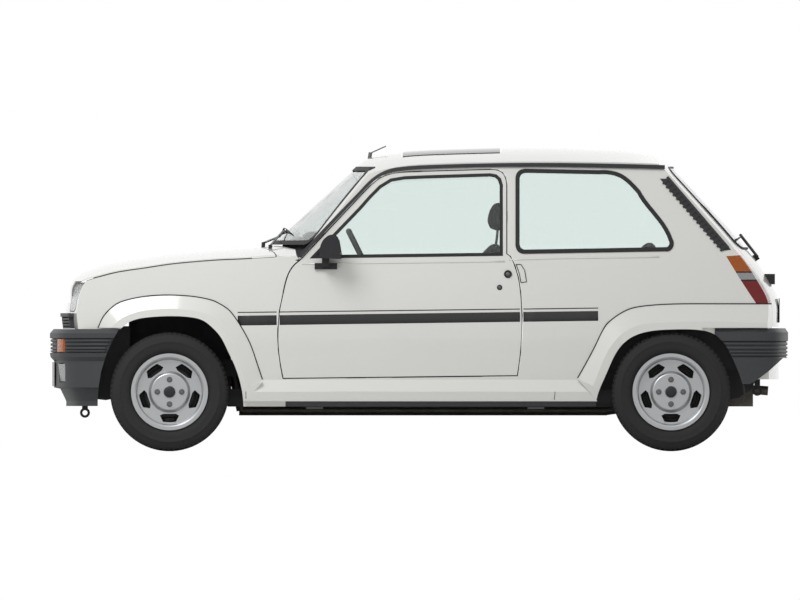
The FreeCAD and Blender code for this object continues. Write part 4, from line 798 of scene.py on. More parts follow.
HUB_FACE, BOLT_CIRCLE = 0.0632, 0.0585
for corner, x, side in (
        ("front_left", FRONT_AXLE_X, -1), ("front_right", FRONT_AXLE_X, 1), ("rear_left", REAR_AXLE_X, -1),
        ("rear_right", REAR_AXLE_X, 1)):
    body = "wheel_" + corner
    y = side * WHEEL_Y
    tyre = tread_tyre("tyre_with_tread_" + corner, x, y, body)
    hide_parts("tyre_" + corner)
    hub_y = y + side * HUB_FACE
    points, faces = [], []
    for k in range(4):
        turn = math.pi / 2 * k
        more, more_faces = hex_bolt(
            x + BOLT_CIRCLE * math.cos(turn), hub_y, TYRE_RADIUS + BOLT_CIRCLE * math.sin(turn), side, 0.0125,
            0.010)
        faces += [tuple(i + len(points) for i in f) for f in more_faces]
        points += more
    bolts = piece("wheel_bolts_" + corner, points, faces, body, steel_dull, smooth=False)
    soften(bolts, 0.0006, 25)
    cap = turned(
        "wheel_cap_" + corner,
        [(0.0, 0.010), (0.012, 0.0098), (0.022, 0.0088), (0.027, 0.0065), (0.0287, 0.003), (0.0290, 0.0005)],
        (x, hub_y, TYRE_RADIUS), (0, side, 0), body, trim_black)

def flat_plate(name, places, thick, body, material, edge=0.0015):
    """A plate through places (x, y, z) that lie in one plane, thickened evenly about it."""
    start_line(places)
    bpy.ops.mesh.edge_face_add()
    made = end_shaping(name, body, material, False)
    wall(made, thick)
    soften(made, edge, 40, 3)
    return made


def round_corners(middle, half_a, half_b, radius, way_a, way_b, steps=6):
    """Places round a rectangle with rounded corners in the plane of two directions."""
    places = []
    for corner, (sign_a, sign_b) in enumerate(((1, 1), (-1, 1), (-1, -1), (1, -1))):
        for k in range(steps + 1):
            turn = math.radians(90 * corner + 90 * k / steps)
            a = sign_a * (half_a - radius) + radius * math.cos(turn)
            b = sign_b * (half_b - radius) + radius * math.sin(turn)
            places.append(Vector(middle) + Vector(way_a) * a + Vector(way_b) * b)
    return places


# Behind the wheels: dust shields at the front brakes, backplates at the drums, and splash aprons
SHIELD_PROFILE = [(0.097, 0.0), (0.1435, 0.0), (0.1460, 0.0020), (0.1460, 0.0090), (0.1440, 0.0090),
                  (0.1430, 0.0030), (0.128, 0.0030), (0.124, 0.0060), (0.110, 0.0060), (0.106, 0.0030),
                  (0.097, 0.0030)]
FRONT_SHIELD_Y, REAR_SHIELD_Y = 0.648, 0.640
FRONT_APRON_Y, REAR_APRON_Y, APRON_THICK = 0.4375, 0.5150, 0.0030
APRONS = {
    "front": (FRONT_APRON_Y,
              [(-1.600, 0.300), (-1.600, 0.600), (-1.384, 0.600), (-1.384, 0.330), (-1.412, 0.262),
               (-1.500, 0.245), (-1.560, 0.252)]),
    "middle": (FRONT_APRON_Y,
               [(-0.955, 0.300), (-0.840, 0.300), (-0.840, 0.214), (-0.915, 0.214), (-0.946, 0.245)]),
    "rear_ahead": (REAR_APRON_Y, [(0.835, 0.402), (0.965, 0.402), (0.965, 0.212), (0.800, 0.212)]),
    "rear_behind": (REAR_APRON_Y,
                    [(1.440, 0.402), (1.620, 0.402), (1.600, 0.300), (1.530, 0.256), (1.440, 0.240)]),
}
for side, side_name in ((-1, "left"), (1, "right")):
    for place, x, y, body in (
            ("front", FRONT_AXLE_X, FRONT_SHIELD_Y, "knuckle_" + side_name),
            ("rear", REAR_AXLE_X, REAR_SHIELD_Y, "body")):
        shield = turned(
            "brake_shield_%s_%s" % (place, side_name), SHIELD_PROFILE, (x, side * y, TYRE_RADIUS),
            (0, side, 0), body, chassis_black, 72, True)
    for place, (y, outline) in APRONS.items():
        apron = flat_plate(
            "splash_apron_%s_%s" % (place, side_name), [(x, side * y, z) for x, z in outline], APRON_THICK,
            "body", chassis_black, 0.0010)

# Headlamps: a fluted lens over a chromed bowl with its bulb, in a black rim
LAMP_Y, LAMP_Z = 0.5530, 0.7370
LAMP_HALF_Y, LAMP_HALF_Z, LAMP_CORNER = 0.1148, 0.0688, 0.0220


def lamp_face():
    """A smooth formula for the lamp's front, through nine places measured on the left lamp."""
    rows = [-0.037, 0.0, 0.043]
    columns = [-0.10, 0.0, 0.10]
    measured = [[found_on("headlamps", (-1.9, -LAMP_Y - c, LAMP_Z + r), (1, 0, 0)).x for c in columns]
                for r in rows]

    def through(places, values, at):
        total = 0.0
        for i, value in enumerate(values):
            share = value
            for j, other in enumerate(places):
                if j != i:
                    share *= (at - other) / (places[i] - other)
            total += share
        return total

    def front_x(out, rise):
        return through(rows, [through(columns, row, out) for row in measured], rise)

    return front_x


def lamp_row_half(rise):
    """Half of the lamp's width at a height over its middle."""
    over = max(0.0, abs(rise) - (LAMP_HALF_Z - LAMP_CORNER))
    return LAMP_HALF_Y - LAMP_CORNER + math.sqrt(max(0.0, LAMP_CORNER ** 2 - over ** 2))


def lamp_loop(inset, count=160):
    """Places (out, rise) round the lamp's rounded rectangle, drawn in by an inset."""
    a, b, r = LAMP_HALF_Y - LAMP_CORNER, LAMP_HALF_Z - LAMP_CORNER, LAMP_CORNER - inset
    places = []
    for k in range(count):
        turn = 2 * math.pi * k / count
        c, s = math.cos(turn), math.sin(turn)
        corner = (math.copysign(a, c), math.copysign(b, s))
        power = 0.35
        places.append(
            (corner[0] * min(1.0, abs(c) ** power * 1.02) + r * c,
             corner[1] * min(1.0, abs(s) ** power * 1.02) + r * s))
    return places


front_x = lamp_face()
for side, side_name in ((-1, "left"), (1, "right")):
    rows, columns = 25, 145
    front, back = [], []
    for j in range(rows):
        rise = -(LAMP_HALF_Z - 0.0001) * math.cos(math.pi * j / (rows - 1))
        half = lamp_row_half(rise)
        for i in range(columns):
            out = half * (2 * i / (columns - 1) - 1)
            flute = 0.0009 * abs(math.sin(math.pi * out / 0.0085)) if abs(out) < half - 0.006 else 0.0
            front.append((front_x(out, rise) + 0.0006, side * (LAMP_Y + out), LAMP_Z + rise))
            back.append((front_x(out, rise) + 0.0050 - flute, side * (LAMP_Y + out), LAMP_Z + rise))
    total = len(front)
    edge = ([i for i in range(columns)] + [(j + 1) * columns - 1 for j in range(1, rows)]
            + [total - 1 - i for i in range(1, columns)] + [j * columns for j in range(rows - 2, 0, -1)])
    sheet = grid_faces(rows, columns)
    faces = sheet + [tuple(total + i for i in f) for f in sheet]
    faces += [(edge[i], edge[(i + 1) % len(edge)], total + edge[(i + 1) % len(edge)], total + edge[i])
              for i in range(len(edge))]
    lens = piece("headlamp_lens_" + side_name, front + back, faces, "body", lamp_glass)
    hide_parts("headlamps")

    count = 160
    rim_points = []
    for inset, deep in (
            (0.0002, 0.0006), (0.0042, 0.0004), (0.0050, 0.0016), (0.0052, 0.0054), (0.0052, 0.0300),
            (0.0002, 0.0300)):
        rim_points += [(front_x(out, rise) + deep, side * (LAMP_Y + out), LAMP_Z + rise)
                       for out, rise in lamp_loop(inset, count)]
    rim = piece("headlamp_rim_" + side_name, rim_points, grid_faces(6, count, True, True), "body", trim_black)

    bowl_points = []
    steps = 12
    middle_x = front_x(0.0, 0.0)
    for k in range(steps + 1):
        share = k / steps
        deep = 0.010 + 0.062 * math.sin(share * math.pi / 2)
        keep = math.cos(share * math.pi / 2 * 0.9)
        for i, (out, rise) in enumerate(lamp_loop(0.0052, count)):
            turn = 2 * math.pi * i / count
            ring = (0.060 * math.cos(turn), 0.060 * math.sin(turn))
            bend = share ** 1.5
            px = (front_x(out, rise) * (1 - share) + middle_x * share) + deep
            bowl_points.append(
                (px, side * (LAMP_Y + (out * (1 - bend) + ring[0] * bend) * keep),
                 LAMP_Z + (rise * (1 - bend) + ring[1] * bend) * keep))
    last = steps * count
    bowl = piece(
        "headlamp_bowl_" + side_name, bowl_points,
        grid_faces(steps + 1, count, closed_columns=True) + [tuple(last + i for i in range(count))], "body",
        chrome)
    shell = bowl.modifiers.new("wall", "SOLIDIFY")
    shell.thickness = 0.0015
    shell.offset = -1.0
    bulb = turned(
        "headlamp_bulb_" + side_name,
        [(0.0, 0.0), (0.004, 0.001), (0.0055, 0.004), (0.006, 0.014), (0.006, 0.022), (0.011, 0.024),
         (0.011, 0.034), (0.0, 0.034)],
        (middle_x + 0.034, side * LAMP_Y, LAMP_Z), (1, 0, 0), "body", chrome, 24)

# Mirror glasses, blank plates, window rubber and wiper blades
for side, side_name in ((-1, "left"), (1, "right")):
    seen = found_on("mirror_" + side_name, (-0.1, side * 0.835, 0.975), (-1, 0, 0))
    upper = found_on("mirror_" + side_name, (-0.1, side * 0.835, 1.005), (-1, 0, 0))
    lean = (upper - seen).normalized()
    middle = seen + Vector((0.0009, 0, 0))
    silver = flat_plate(
        "mirror_glass_" + side_name, round_corners(middle, 0.058, 0.036, 0.012, (0, 1, 0), lean), 0.0014,
        "door_" + side_name, mirror_face, 0.0003)
    rim_line = round_corners(middle, 0.060, 0.038, 0.013, (0, 1, 0), lean)
    rim = tube_along("mirror_bead_" + side_name, rim_line, 0.0022, "door_" + side_name, trim_black, True)

front_plate = flat_plate(
    "number_plate_front", round_corners((-1.7535, 0, 0.370), 0.255, 0.0545, 0.008, (0, 1, 0), (0, 0, 1)),
    0.0020, "body", plate_white, 0.0005)
rear_plate = flat_plate(
    "number_plate_rear", round_corners((1.7260, 0, 0.675), 0.255, 0.0545, 0.008, (0, -1, 0), (0, 0, 1)),
    0.0020, "tailgate", plate_white, 0.0005)
for name, x, z, across, body in (
        ("front", -1.7530, 0.370, 1, "body"), ("rear", 1.7252, 0.675, -1, "tailgate")):
    frame_line = round_corners((x, 0, z), 0.2565, 0.0560, 0.009, (0, across, 0), (0, 0, 1))
    edge = tube_along("number_plate_frame_" + name, frame_line, 0.0024, body, trim_black, True)

# Rubber round the rear window, laid on the tailgate just outside the glass
REAR_WINDOW_MIDDLE, REAR_WINDOW_TALL, REAR_WINDOW_LOW = 1.165, 0.386, 0.972
REAR_WINDOW_HALF_LOW, REAR_WINDOW_HALF_TOP = 0.550, 0.475
RUBBER_STEP, RUBBER_OUT, TAILGATE_SLOPE = 0.02, 0.012, 0.80
corners = round_corners((0, 0, 0), 0.5, 0.5, 0.12, (0, 1, 0), (0, 0, 1), 8)
rubber_line = []
for place in corners + [corners[0]]:
    z = REAR_WINDOW_MIDDLE + place.z * REAR_WINDOW_TALL
    share = (z - REAR_WINDOW_LOW) / REAR_WINDOW_TALL
    half = REAR_WINDOW_HALF_LOW + (REAR_WINDOW_HALF_TOP - REAR_WINDOW_HALF_LOW) * share
    rubber_line.append((place.y * 2 * half, z))
rubber_seat = []
for y, z in smooth_loop([rubber_line], RUBBER_STEP):
    beside = RUBBER_OUT if z > REAR_WINDOW_MIDDLE else -RUBBER_OUT
    seen = found_on("tailgate", (2.2, y * 1.012, z + beside), (-1, 0, 0))
    rubber_seat.append((seen.x + beside * TAILGATE_SLOPE + 0.001, y, z))
rear_rubber = tube_along("rear_window_rubber", rubber_seat, 0.0065, "tailgate", seal_rubber, True, 14)


def on_glass(node, x, y, z, way, lift):
    """A place a little way out from a glass, looked for from outside."""
    seen = found_on(node, Vector((x, y, z)) - Vector(way) * 0.5, way)
    return seen - Vector(way).normalized() * lift


def wiper_blade(name, node, ends, way, tip, body):
    """A rubber blade along a glass with its spine, two yokes and the clip at the arm's tip."""
    places = [tuple(ends[0][i] + (ends[1][i] - ends[0][i]) * k / 16 for i in range(3)) for k in range(17)]
    edge = [on_glass(node, *place, way, 0.0032) for place in places]
    spine = [on_glass(node, *place, way, 0.0085) for place in places]
    rubber = tube_along(name + "_rubber", edge, 0.0026, body, seal_rubber)
    back = tube_along(name + "_spine", spine, 0.0024, body, trim_black)
    for number, (low, high) in enumerate(((1, 7), (9, 15))):
        bow = [on_glass(node, *places[i], way, 0.0085 + 0.0075 * math.sin(math.pi * (i - low) / (high - low)))
               for i in range(low, high + 1)]
        tube_along("%s_yoke_%d" % (name, number), bow, 0.0022, body, trim_black)
    top = [on_glass(node, *places[i], way, 0.0160 + 0.006 * math.sin(math.pi * (i - 4) / 8))
           for i in range(4, 13)]
    bridge = tube_along(name + "_bridge", top, 0.0026, body, trim_black)
    clip = tube_along(name + "_clip", [tip, (Vector(tip) + top[4]) / 2, top[4]], 0.0042, body, trim_black)


wiper_blade(
    "wiper_blade_left", "fixed_glass", ((-0.62, -0.345, 1.064), (-0.66, 0.150, 1.050)), (0.45, 0, -0.89),
    (-0.648, -0.090, 1.058), "body")
wiper_blade(
    "wiper_blade_right", "fixed_glass", ((-0.66, 0.170, 1.056), (-0.57, 0.590, 1.072)), (0.45, 0, -0.89),
    (-0.588, 0.390, 1.062), "body")
wiper_blade(
    "wiper_blade_rear", "tailgate_glass", ((1.54, -0.440, 1.030), (1.56, -0.060, 1.036)), (-0.85, 0, -0.53),
    (1.540, -0.270, 1.036), "tailgate")


binnacle = [(-0.500, 0.902), (-0.449, 0.902), (-0.446, 0.912), (-0.462, 1.006), (-0.424, 1.026),
            (-0.421, 1.034), (-0.428, 1.041), (-0.470, 1.052), (-0.530, 1.050), (-0.556, 1.034),
            (-0.548, 1.010)]
cheek = [(-0.500, 0.902), (-0.436, 0.902), (-0.420, 1.028), (-0.428, 1.041), (-0.470, 1.052), (-0.530, 1.050),
         (-0.556, 1.034), (-0.548, 1.010)]
hood = profile_block("instrument_hood", binnacle, -0.480, -0.180, "body", dash_grain, 0.004)
cheeks = [profile_block("instrument_cheek_" + name, cheek, low, low + 0.012, "body", dash_grain, 0.005)
          for name, low in (("outer", -0.491), ("inner", -0.181))]
GAUGE_WAY = Vector((0.986, 0, 0.166))
for number, (y, z, radius) in enumerate(
        ((-0.262, 0.957, 0.040), (-0.398, 0.957, 0.040), (-0.330, 0.975, 0.022), (-0.330, 0.930, 0.018))):
    centre = Vector((-0.4530 - 0.168 * (z - 0.957), y, z))
    bezel = turned(
        "gauge_bezel_%d" % number,
        [(radius, 0.0), (radius, 0.004), (radius * 0.96, 0.0056), (radius * 0.91, 0.0050),
         (radius * 0.89, 0.0020), (radius * 0.89, 0.0)],
        centre, GAUGE_WAY, "body", trim_black, 48, True)
    face = turned(
        "gauge_face_%d" % number,
        [(0.0, 0.0008), (radius * 0.88, 0.0008), (radius * 0.88, -0.001), (0.0, -0.001)], centre, GAUGE_WAY,
        "body", gauge_black, 48)
    up = Vector((0, 1, 0)).cross(GAUGE_WAY)
    way = (Vector((0, 1, 0)) * 0.82 - up * 0.57).normalized()
    needle = tube_along(
        "gauge_needle_%d" % number,
        [centre + GAUGE_WAY * 0.0022 - way * radius * 0.14, centre + GAUGE_WAY * 0.0022,
         centre + GAUGE_WAY * 0.0022 + way * radius * 0.74],
        0.0007, "body", amber_mark, False, 8)
    cap = turned(
        "gauge_hub_%d" % number, [(0.0, 0.0042), (0.0028, 0.0038), (0.0036, 0.0020), (0.0036, 0.0)], centre,
        GAUGE_WAY, "body", trim_black, 20)


def slope_x(z):
    """The dashboard's rear face below its edge at a height."""
    return -0.450 - 0.3125 * max(0.0, 0.900 - z) - 0.03 * max(0.0, z - 0.900)


def face_frame(name, y0, y1, z0, z1, radius):
    """A rounded bead round a rectangle on the dashboard's face."""
    middle = Vector(((slope_x(z0) + slope_x(z1)) / 2 + 0.001, (y0 + y1) / 2, (z0 + z1) / 2))
    lean = Vector((slope_x(z1) - slope_x(z0), 0, z1 - z0)).normalized()
    line = round_corners(middle, (y1 - y0) / 2, (z1 - z0) / 2, 0.007, (0, 1, 0), lean)
    return tube_along(name, line, radius, "body", trim_black, True)


for number, (y0, y1) in enumerate(((-0.575, -0.500), (-0.120, -0.010), (0.010, 0.120), (0.500, 0.575))):
    edge = face_frame("air_vent_rim_%d" % number, y0, y1, 0.903, 0.951, 0.0036)
    back = flat_plate(
        "air_vent_back_%d" % number,
        round_corners((-0.4496, (y0 + y1) / 2, 0.927), (y1 - y0) / 2, 0.024, 0.006, (0, 1, 0), (-0.03, 0, 1)),
        0.0010, "body", gauge_black, 0.0003)
    vanes = [profile_block("air_vent_vane_%d_%d" % (number, k),
                           [(-0.4490, 0.9085 + 0.0090 * k), (-0.4400, 0.9055 + 0.0090 * k),
                            (-0.4396, 0.9068 + 0.0090 * k), (-0.4486, 0.9098 + 0.0090 * k)],
                           y0 + 0.002, y1 - 0.002, "body", trim_black, 0.0003)
             for k in range(5)]

radio_frame = face_frame("radio_rim", -0.092, 0.092, 0.828, 0.882, 0.0026)
radio = flat_plate(
    "radio_front",
    round_corners((slope_x(0.855) + 0.0030, 0, 0.855), 0.090, 0.0265, 0.004, (0, 1, 0), (0.298, 0, 0.954)),
    0.0030, "body", gauge_black, 0.0008)
dial = flat_plate(
    "radio_dial",
    round_corners((slope_x(0.862) + 0.0048, 0, 0.862), 0.048, 0.009, 0.003, (0, 1, 0), (0.298, 0, 0.954)),
    0.0012, "body", lamp_glass, 0.0003)
SLOPE_WAY = Vector((0.954, 0, -0.298))
for name, y, z, radius in (
        ("radio_knob_left", -0.071, 0.855, 0.0105), ("radio_knob_right", 0.071, 0.855, 0.0105),
        ("heater_knob_left", -0.060, 0.793, 0.0140), ("heater_knob_middle", 0.0, 0.793, 0.0140),
        ("heater_knob_right", 0.060, 0.793, 0.0140)):
    ribs = [(0.0, 0.0165), (radius * 0.80, 0.0160), (radius * 0.94, 0.0145), (radius, 0.0040),
            (radius * 1.12, 0.0020), (radius * 1.12, -0.001), (0.0, -0.001)]
    knob = turned(name, ribs, (slope_x(z) + 0.0035, y, z), SLOPE_WAY, "body", trim_black, 32)
heater = face_frame("heater_rim", -0.092, 0.092, 0.766, 0.820, 0.0024)
glovebox = flat_plate(
    "glovebox_lid",
    round_corners((slope_x(0.825) + 0.0030, 0.345, 0.825), 0.185, 0.056, 0.010, (0, 1, 0), (0.298, 0, 0.954)),
    0.0050, "body", dash_grain, 0.0018)
latch = flat_plate(
    "glovebox_latch",
    round_corners((slope_x(0.862) + 0.0065, 0.345, 0.862), 0.024, 0.008, 0.004, (0, 1, 0), (0.298, 0, 0.954)),
    0.0060, "body", trim_black, 0.0018)

# Steering wheel pad, column stalks, shroud, pedals and levers
WHEEL_AXIS = Vector((0.894, 0, 0.447)).normalized()
WHEEL_MIDDLE = Vector((-0.258, -0.330, 0.897))
pad = turned(
    "steering_wheel_pad",
    [(0.0, 0.0030), (0.020, 0.0022), (0.038, -0.0010), (0.050, -0.0070), (0.055, -0.0150), (0.056, -0.0330),
     (0.0, -0.0330)],
    WHEEL_MIDDLE, WHEEL_AXIS, "steering_wheel", wheel_skin, 64)
ridge = turned(
    "steering_wheel_pad_ring", [(0.026, 0.0016), (0.028, 0.0032), (0.031, 0.0028), (0.032, 0.0004)],
    WHEEL_MIDDLE, WHEEL_AXIS, "steering_wheel", trim_black, 64, True)
shroud = turned(
    "steering_column_shroud",
    [(0.0300, -0.046), (0.0470, -0.050), (0.0500, -0.060), (0.0500, -0.140), (0.0440, -0.190),
     (0.0310, -0.196)],
    WHEEL_MIDDLE, WHEEL_AXIS, "body", dash_grain, 48, True)
for side, side_name in ((-1, "left"), (1, "right")):
    root = WHEEL_MIDDLE - WHEEL_AXIS * 0.085 + Vector((0, side * 0.040, 0))
    stalk = tube_along(
        "column_stalk_" + side_name,
        [root, root + Vector((0.006, side * 0.040, 0.006)), root + Vector((0.016, side * 0.085, 0.014)),
         root + Vector((0.018, side * 0.110, 0.016))],
        0.0048, "body", trim_black, False, 16)
    grip = tube_along(
        "column_stalk_grip_" + side_name,
        [root + Vector((0.0165, side * 0.088, 0.0145)), root + Vector((0.018, side * 0.112, 0.016)),
         root + Vector((0.020, side * 0.138, 0.018))],
        0.0078, "body", trim_black, False, 16)

for name, y, wide, x in (
        ("clutch", -0.410, 0.030, -0.560), ("brake", -0.325, 0.030, -0.560),
        ("throttle", -0.245, 0.020, -0.570)):
    arm = tube_along(
        "pedal_arm_" + name,
        [(-0.650, y, 0.620), (-0.640, y, 0.540), (-0.610, y, 0.460), (x - 0.008, y, 0.395)], 0.0060, "body",
        chassis_black, False, 12)
    tread = profile_block(
        "pedal_pad_" + name, [(x - 0.010, 0.358), (x + 0.004, 0.352), (x + 0.016, 0.404), (x + 0.002, 0.414)],
        y - wide, y + wide, "body", seal_rubber, 0.003)

boot_rings = []
for k in range(13):
    height = 0.331 + 0.0058 * k
    radius = (0.058 - 0.0034 * k) * (1.0 if k % 2 else 0.90)
    boot_rings.append((radius, height - 0.331))
gaiter = turned(
    "gear_lever_gaiter", [(0.066, 0.0)] + boot_rings + [(0.008, 0.072), (0.0, 0.072)], (-0.300, 0, 0.331),
    (0, 0, 1), "body", seal_rubber, 48)
lever = tube_along(
    "gear_lever",
    [(-0.300, 0, 0.395), (-0.292, -0.004, 0.470), (-0.270, -0.010, 0.560), (-0.262, -0.012, 0.600)], 0.0065,
    "body", steel_dull, False, 16)
knob = turned(
    "gear_knob",
    [(0.0, 0.056), (0.012, 0.054), (0.021, 0.046), (0.0245, 0.034), (0.022, 0.018), (0.014, 0.004),
     (0.010, 0.0), (0.0, 0.0)],
    (-0.262, -0.012, 0.592), (0.10, 0, 1), "body", trim_black, 32)
brake_lever = tube_along(
    "hand_brake", [(0.150, 0, 0.352), (0.080, 0, 0.372), (0.020, 0, 0.392), (-0.010, 0, 0.404)], 0.0090,
    "body", steel_dull, False, 16)
brake_grip = tube_along(
    "hand_brake_grip", [(-0.004, 0, 0.401), (-0.050, 0, 0.418), (-0.110, 0, 0.438), (-0.122, 0, 0.441)],
    0.0135, "body", trim_black, False, 20)
brake_button = tube_along(
    "hand_brake_button", [(-0.120, 0, 0.4405), (-0.126, 0, 0.4425), (-0.133, 0, 0.4450)], 0.0055, "body",
    steel_dull, False, 16)
brake_root = profile_block(
    "hand_brake_bracket", [(0.115, 0.3305), (0.185, 0.3305), (0.172, 0.366), (0.130, 0.366)], -0.018, 0.018,
    "body", chassis_black, 0.003)

# Carpets, door cards, interior mirror and sun visors
def laid_sheet(name, x_places, y_places, height, body, material):
    """A carpet: a grid at the floor's height, thickened by a modifier."""
    points = [(x, y, height(x)) for x in x_places for y in y_places]
    made = piece(name, points, grid_faces(len(x_places), len(y_places)), body, material)
    wall(made, 0.006)
    return made


def carpet_height(x):
    """The floor's height, with the toe board's rise at the front."""
    rise = 0.0903 * min(max((-0.565 - x) / 0.055, 0.0), 1.0)
    return 0.2225 + rise


for side, side_name in ((-1, "left"), (1, "right")):
    for part, low, high, steps in (("front", -0.618, -0.160, 40), ("rear", 0.330, 0.676, 16)):
        xs = [low + (high - low) * k / steps for k in range(steps + 1)]
        mat = laid_sheet(
            "carpet_%s_%s" % (part, side_name), xs, [side * (0.116 + 0.532 * k / 12) for k in range(13)],
            carpet_height, "body", carpet)


def door_inner(side, side_name, x, z, out):
    """A place a distance inwards from a door's inner face."""
    seen = found_on("door_" + side_name, (x, side * 0.2, z), (0, side, 0))
    return (x, seen.y - side * out, z)


for side, side_name in ((-1, "left"), (1, "right")):
    body = "door_" + side_name
    xs = [-0.520 + 0.900 * k / 30 for k in range(31)]
    zs = [0.435 + 0.445 * k / 16 for k in range(17)]
    card = piece(
        "door_card_" + side_name, [door_inner(side, side_name, x, z, 0.0025) for x in xs for z in zs],
        grid_faces(31, 17), body, dash_grain)
    wall(card, 0.004)
    panel_xs = [-0.470 + 0.790 * k / 24 for k in range(25)]
    panel_zs = [0.640 + 0.190 * k / 10 for k in range(11)]
    insert_points = []
    for i, x in enumerate(panel_xs):
        for j, z in enumerate(panel_zs):
            rim_share = min(i, 24 - i, 2) / 2 * min(j, 10 - j, 2) / 2
            insert_points.append(door_inner(side, side_name, x, z, 0.0048 + 0.0052 * rim_share))
    insert = piece("door_card_cloth_" + side_name, insert_points, grid_faces(25, 11), body, seat_cloth)
    arm_y = door_inner(side, side_name, 0.0, 0.600, 0.004)[1]
    armrest_line = [(-0.200, 0.585), (-0.120, 0.597), (0.050, 0.600), (0.230, 0.600), (0.262, 0.592)]
    armrest = tube_along(
        "door_armrest_" + side_name, [(x, arm_y - side * 0.024, z) for x, z in smoothed(armrest_line, 5)],
        0.024, body, dash_grain, False, 24)
    pull = tube_along(
        "door_pull_" + side_name,
        [(x, arm_y - side * out, z)
         for x, z, out in smoothed([(0.150, 0.624, 0.030), (0.158, 0.650, 0.046), (0.200, 0.668, 0.050),
                                    (0.245, 0.660, 0.046), (0.256, 0.622, 0.030)],
                                   5)],
        0.0085, body, trim_black, False, 14)
    base_y = door_inner(side, side_name, -0.260, 0.545, 0.005)[1]
    winder_root = turned(
        "window_winder_boss_" + side_name,
        [(0.020, 0.0), (0.020, 0.006), (0.015, 0.012), (0.012, 0.020), (0.0, 0.021), (0.0, 0.0)],
        (-0.260, base_y, 0.545), (0, -side, 0), body, trim_black, 32)
    winder_arm = tube_along(
        "window_winder_arm_" + side_name,
        [(-0.260, base_y - side * 0.016, 0.545), (-0.236, base_y - side * 0.024, 0.516),
         (-0.206, base_y - side * 0.030, 0.482)],
        0.0062, body, trim_black, False, 14)
    winder_knob = turned(
        "window_winder_knob_" + side_name,
        [(0.0, 0.030), (0.009, 0.029), (0.012, 0.024), (0.0105, 0.006), (0.008, 0.0), (0.0, 0.0)],
        (-0.207, base_y - side * 0.028, 0.483), (0, -side, 0), body, trim_black, 28)
    pocket_y = door_inner(side, side_name, 0.0, 0.470, 0.004)[1]
    pocket = profile_block(
        "door_pocket_" + side_name,
        [(-0.440, 0.442), (0.180, 0.442), (0.200, 0.462), (0.180, 0.500), (-0.420, 0.500), (-0.452, 0.470)],
        min(pocket_y, pocket_y - side * 0.030), max(pocket_y, pocket_y - side * 0.030), body, dash_grain,
        0.008)
    visor_xs = [-0.215 + 0.110 * k / 10 for k in range(11)]
    visor_points = []
    for x in visor_xs:
        for j in range(9):
            y = side * (0.085 + 0.370 * j / 8)
            seen = found_on("roof", (x, y, 1.0), (0, 0, 1))
            visor_points.append((x, y, seen.z - 0.013 - 0.02 * abs(x + 0.215)))
    visor = piece("sun_visor_" + side_name, visor_points, grid_faces(11, 9), "body", visor_vinyl)
    wall(visor, 0.012)
    edge = visor.modifiers.new("edges", "BEVEL")
    edge.width = 0.004
    edge.segments = 3
    edge.limit_method = "ANGLE"
    edge.angle_limit = math.radians(50)

mirror_back = turned(
    "interior_mirror_mount", [(0.0, 0.006), (0.010, 0.005), (0.014, 0.0), (0.0, 0.0)], (-0.3205, 0, 1.3330),
    (0.45, 0, -0.89), "body", trim_black, 24)
mirror_stem = tube_along(
    "interior_mirror_stem", [(-0.3180, 0, 1.3290), (-0.3020, 0, 1.3080), (-0.2860, 0, 1.2960)], 0.0050,
    "body", trim_black, False, 14)
inner_mirror = flat_plate(
    "interior_mirror_case",
    round_corners((-0.2800, 0, 1.2920), 0.115, 0.029, 0.014, (-0.06, 1, 0), (0.10, 0, 1)), 0.014, "body",
    trim_black, 0.0045)
inner_glass = flat_plate(
    "interior_mirror_glass",
    round_corners((-0.2722, 0, 1.2912), 0.110, 0.0245, 0.012, (-0.06, 1, 0), (0.10, 0, 1)), 0.0012, "body",
    mirror_face, 0.0003)

# Engine bay: radiator and fan, rocker cover, air filter, battery, brake servo, bottle and hoses
RADIATOR_WIDE, CORE_FOLDS, FAN_Z = 0.490, 280, 0.490
AIR_FILTER_X, AIR_FILTER_Y = -1.150, 0.125
DISTRIBUTOR_X, DISTRIBUTOR_Y = -1.130, -0.500
SERVO_Y, SERVO_Z = -0.315, 0.610
core_points = []
for z in (0.335, 0.640):
    core_points += [(-1.552 + (0.0022 if k % 2 else -0.0022), RADIATOR_WIDE * (k / CORE_FOLDS - 0.5), z)
                    for k in range(CORE_FOLDS + 1)]
radiator_core = piece(
    "radiator_core", core_points, grid_faces(2, CORE_FOLDS + 1), "body", trim_black, smooth=False)
wall(radiator_core, 0.022)
tanks = [profile_block("radiator_tank_" + name,
                       [(-1.572, low), (-1.532, low), (-1.532, low + 0.030), (-1.542, low + 0.040),
                        (-1.562, low + 0.040), (-1.572, low + 0.030)],
                       -0.262, 0.262, "body", trim_black, 0.005)
         for name, low in (("low", 0.300), ("top", 0.638))]
cheeks = [profile_block("radiator_side_" + name,
                        [(-1.570, 0.330), (-1.534, 0.330), (-1.534, 0.645), (-1.570, 0.645)], y - 0.006,
                        y + 0.006, "body", trim_black, 0.002)
          for name, y in (("left", -0.2515), ("right", 0.2515))]
feet = [profile_block("radiator_foot_" + name,
                      [(-1.566, 0.262), (-1.538, 0.262), (-1.534, 0.303), (-1.570, 0.303)], y - 0.025,
                      y + 0.025, "body", seal_rubber, 0.004)
        for name, y in (("left", -0.200), ("right", 0.200))]
cowl = turned(
    "fan_cowl",
    [(0.138, -0.004), (0.146, -0.004), (0.146, 0.036), (0.149, 0.040), (0.149, 0.046), (0.138, 0.044)],
    (-1.530, 0.0, FAN_Z), (1, 0, 0), "body", trim_black, 72, True)
hub = turned(
    "fan_motor",
    [(0.0, -0.002), (0.030, 0.0), (0.034, 0.006), (0.034, 0.030), (0.028, 0.036), (0.028, 0.085),
     (0.022, 0.092), (0.0, 0.092)],
    (-1.526, 0.0, FAN_Z), (1, 0, 0), "body", trim_black, 40)
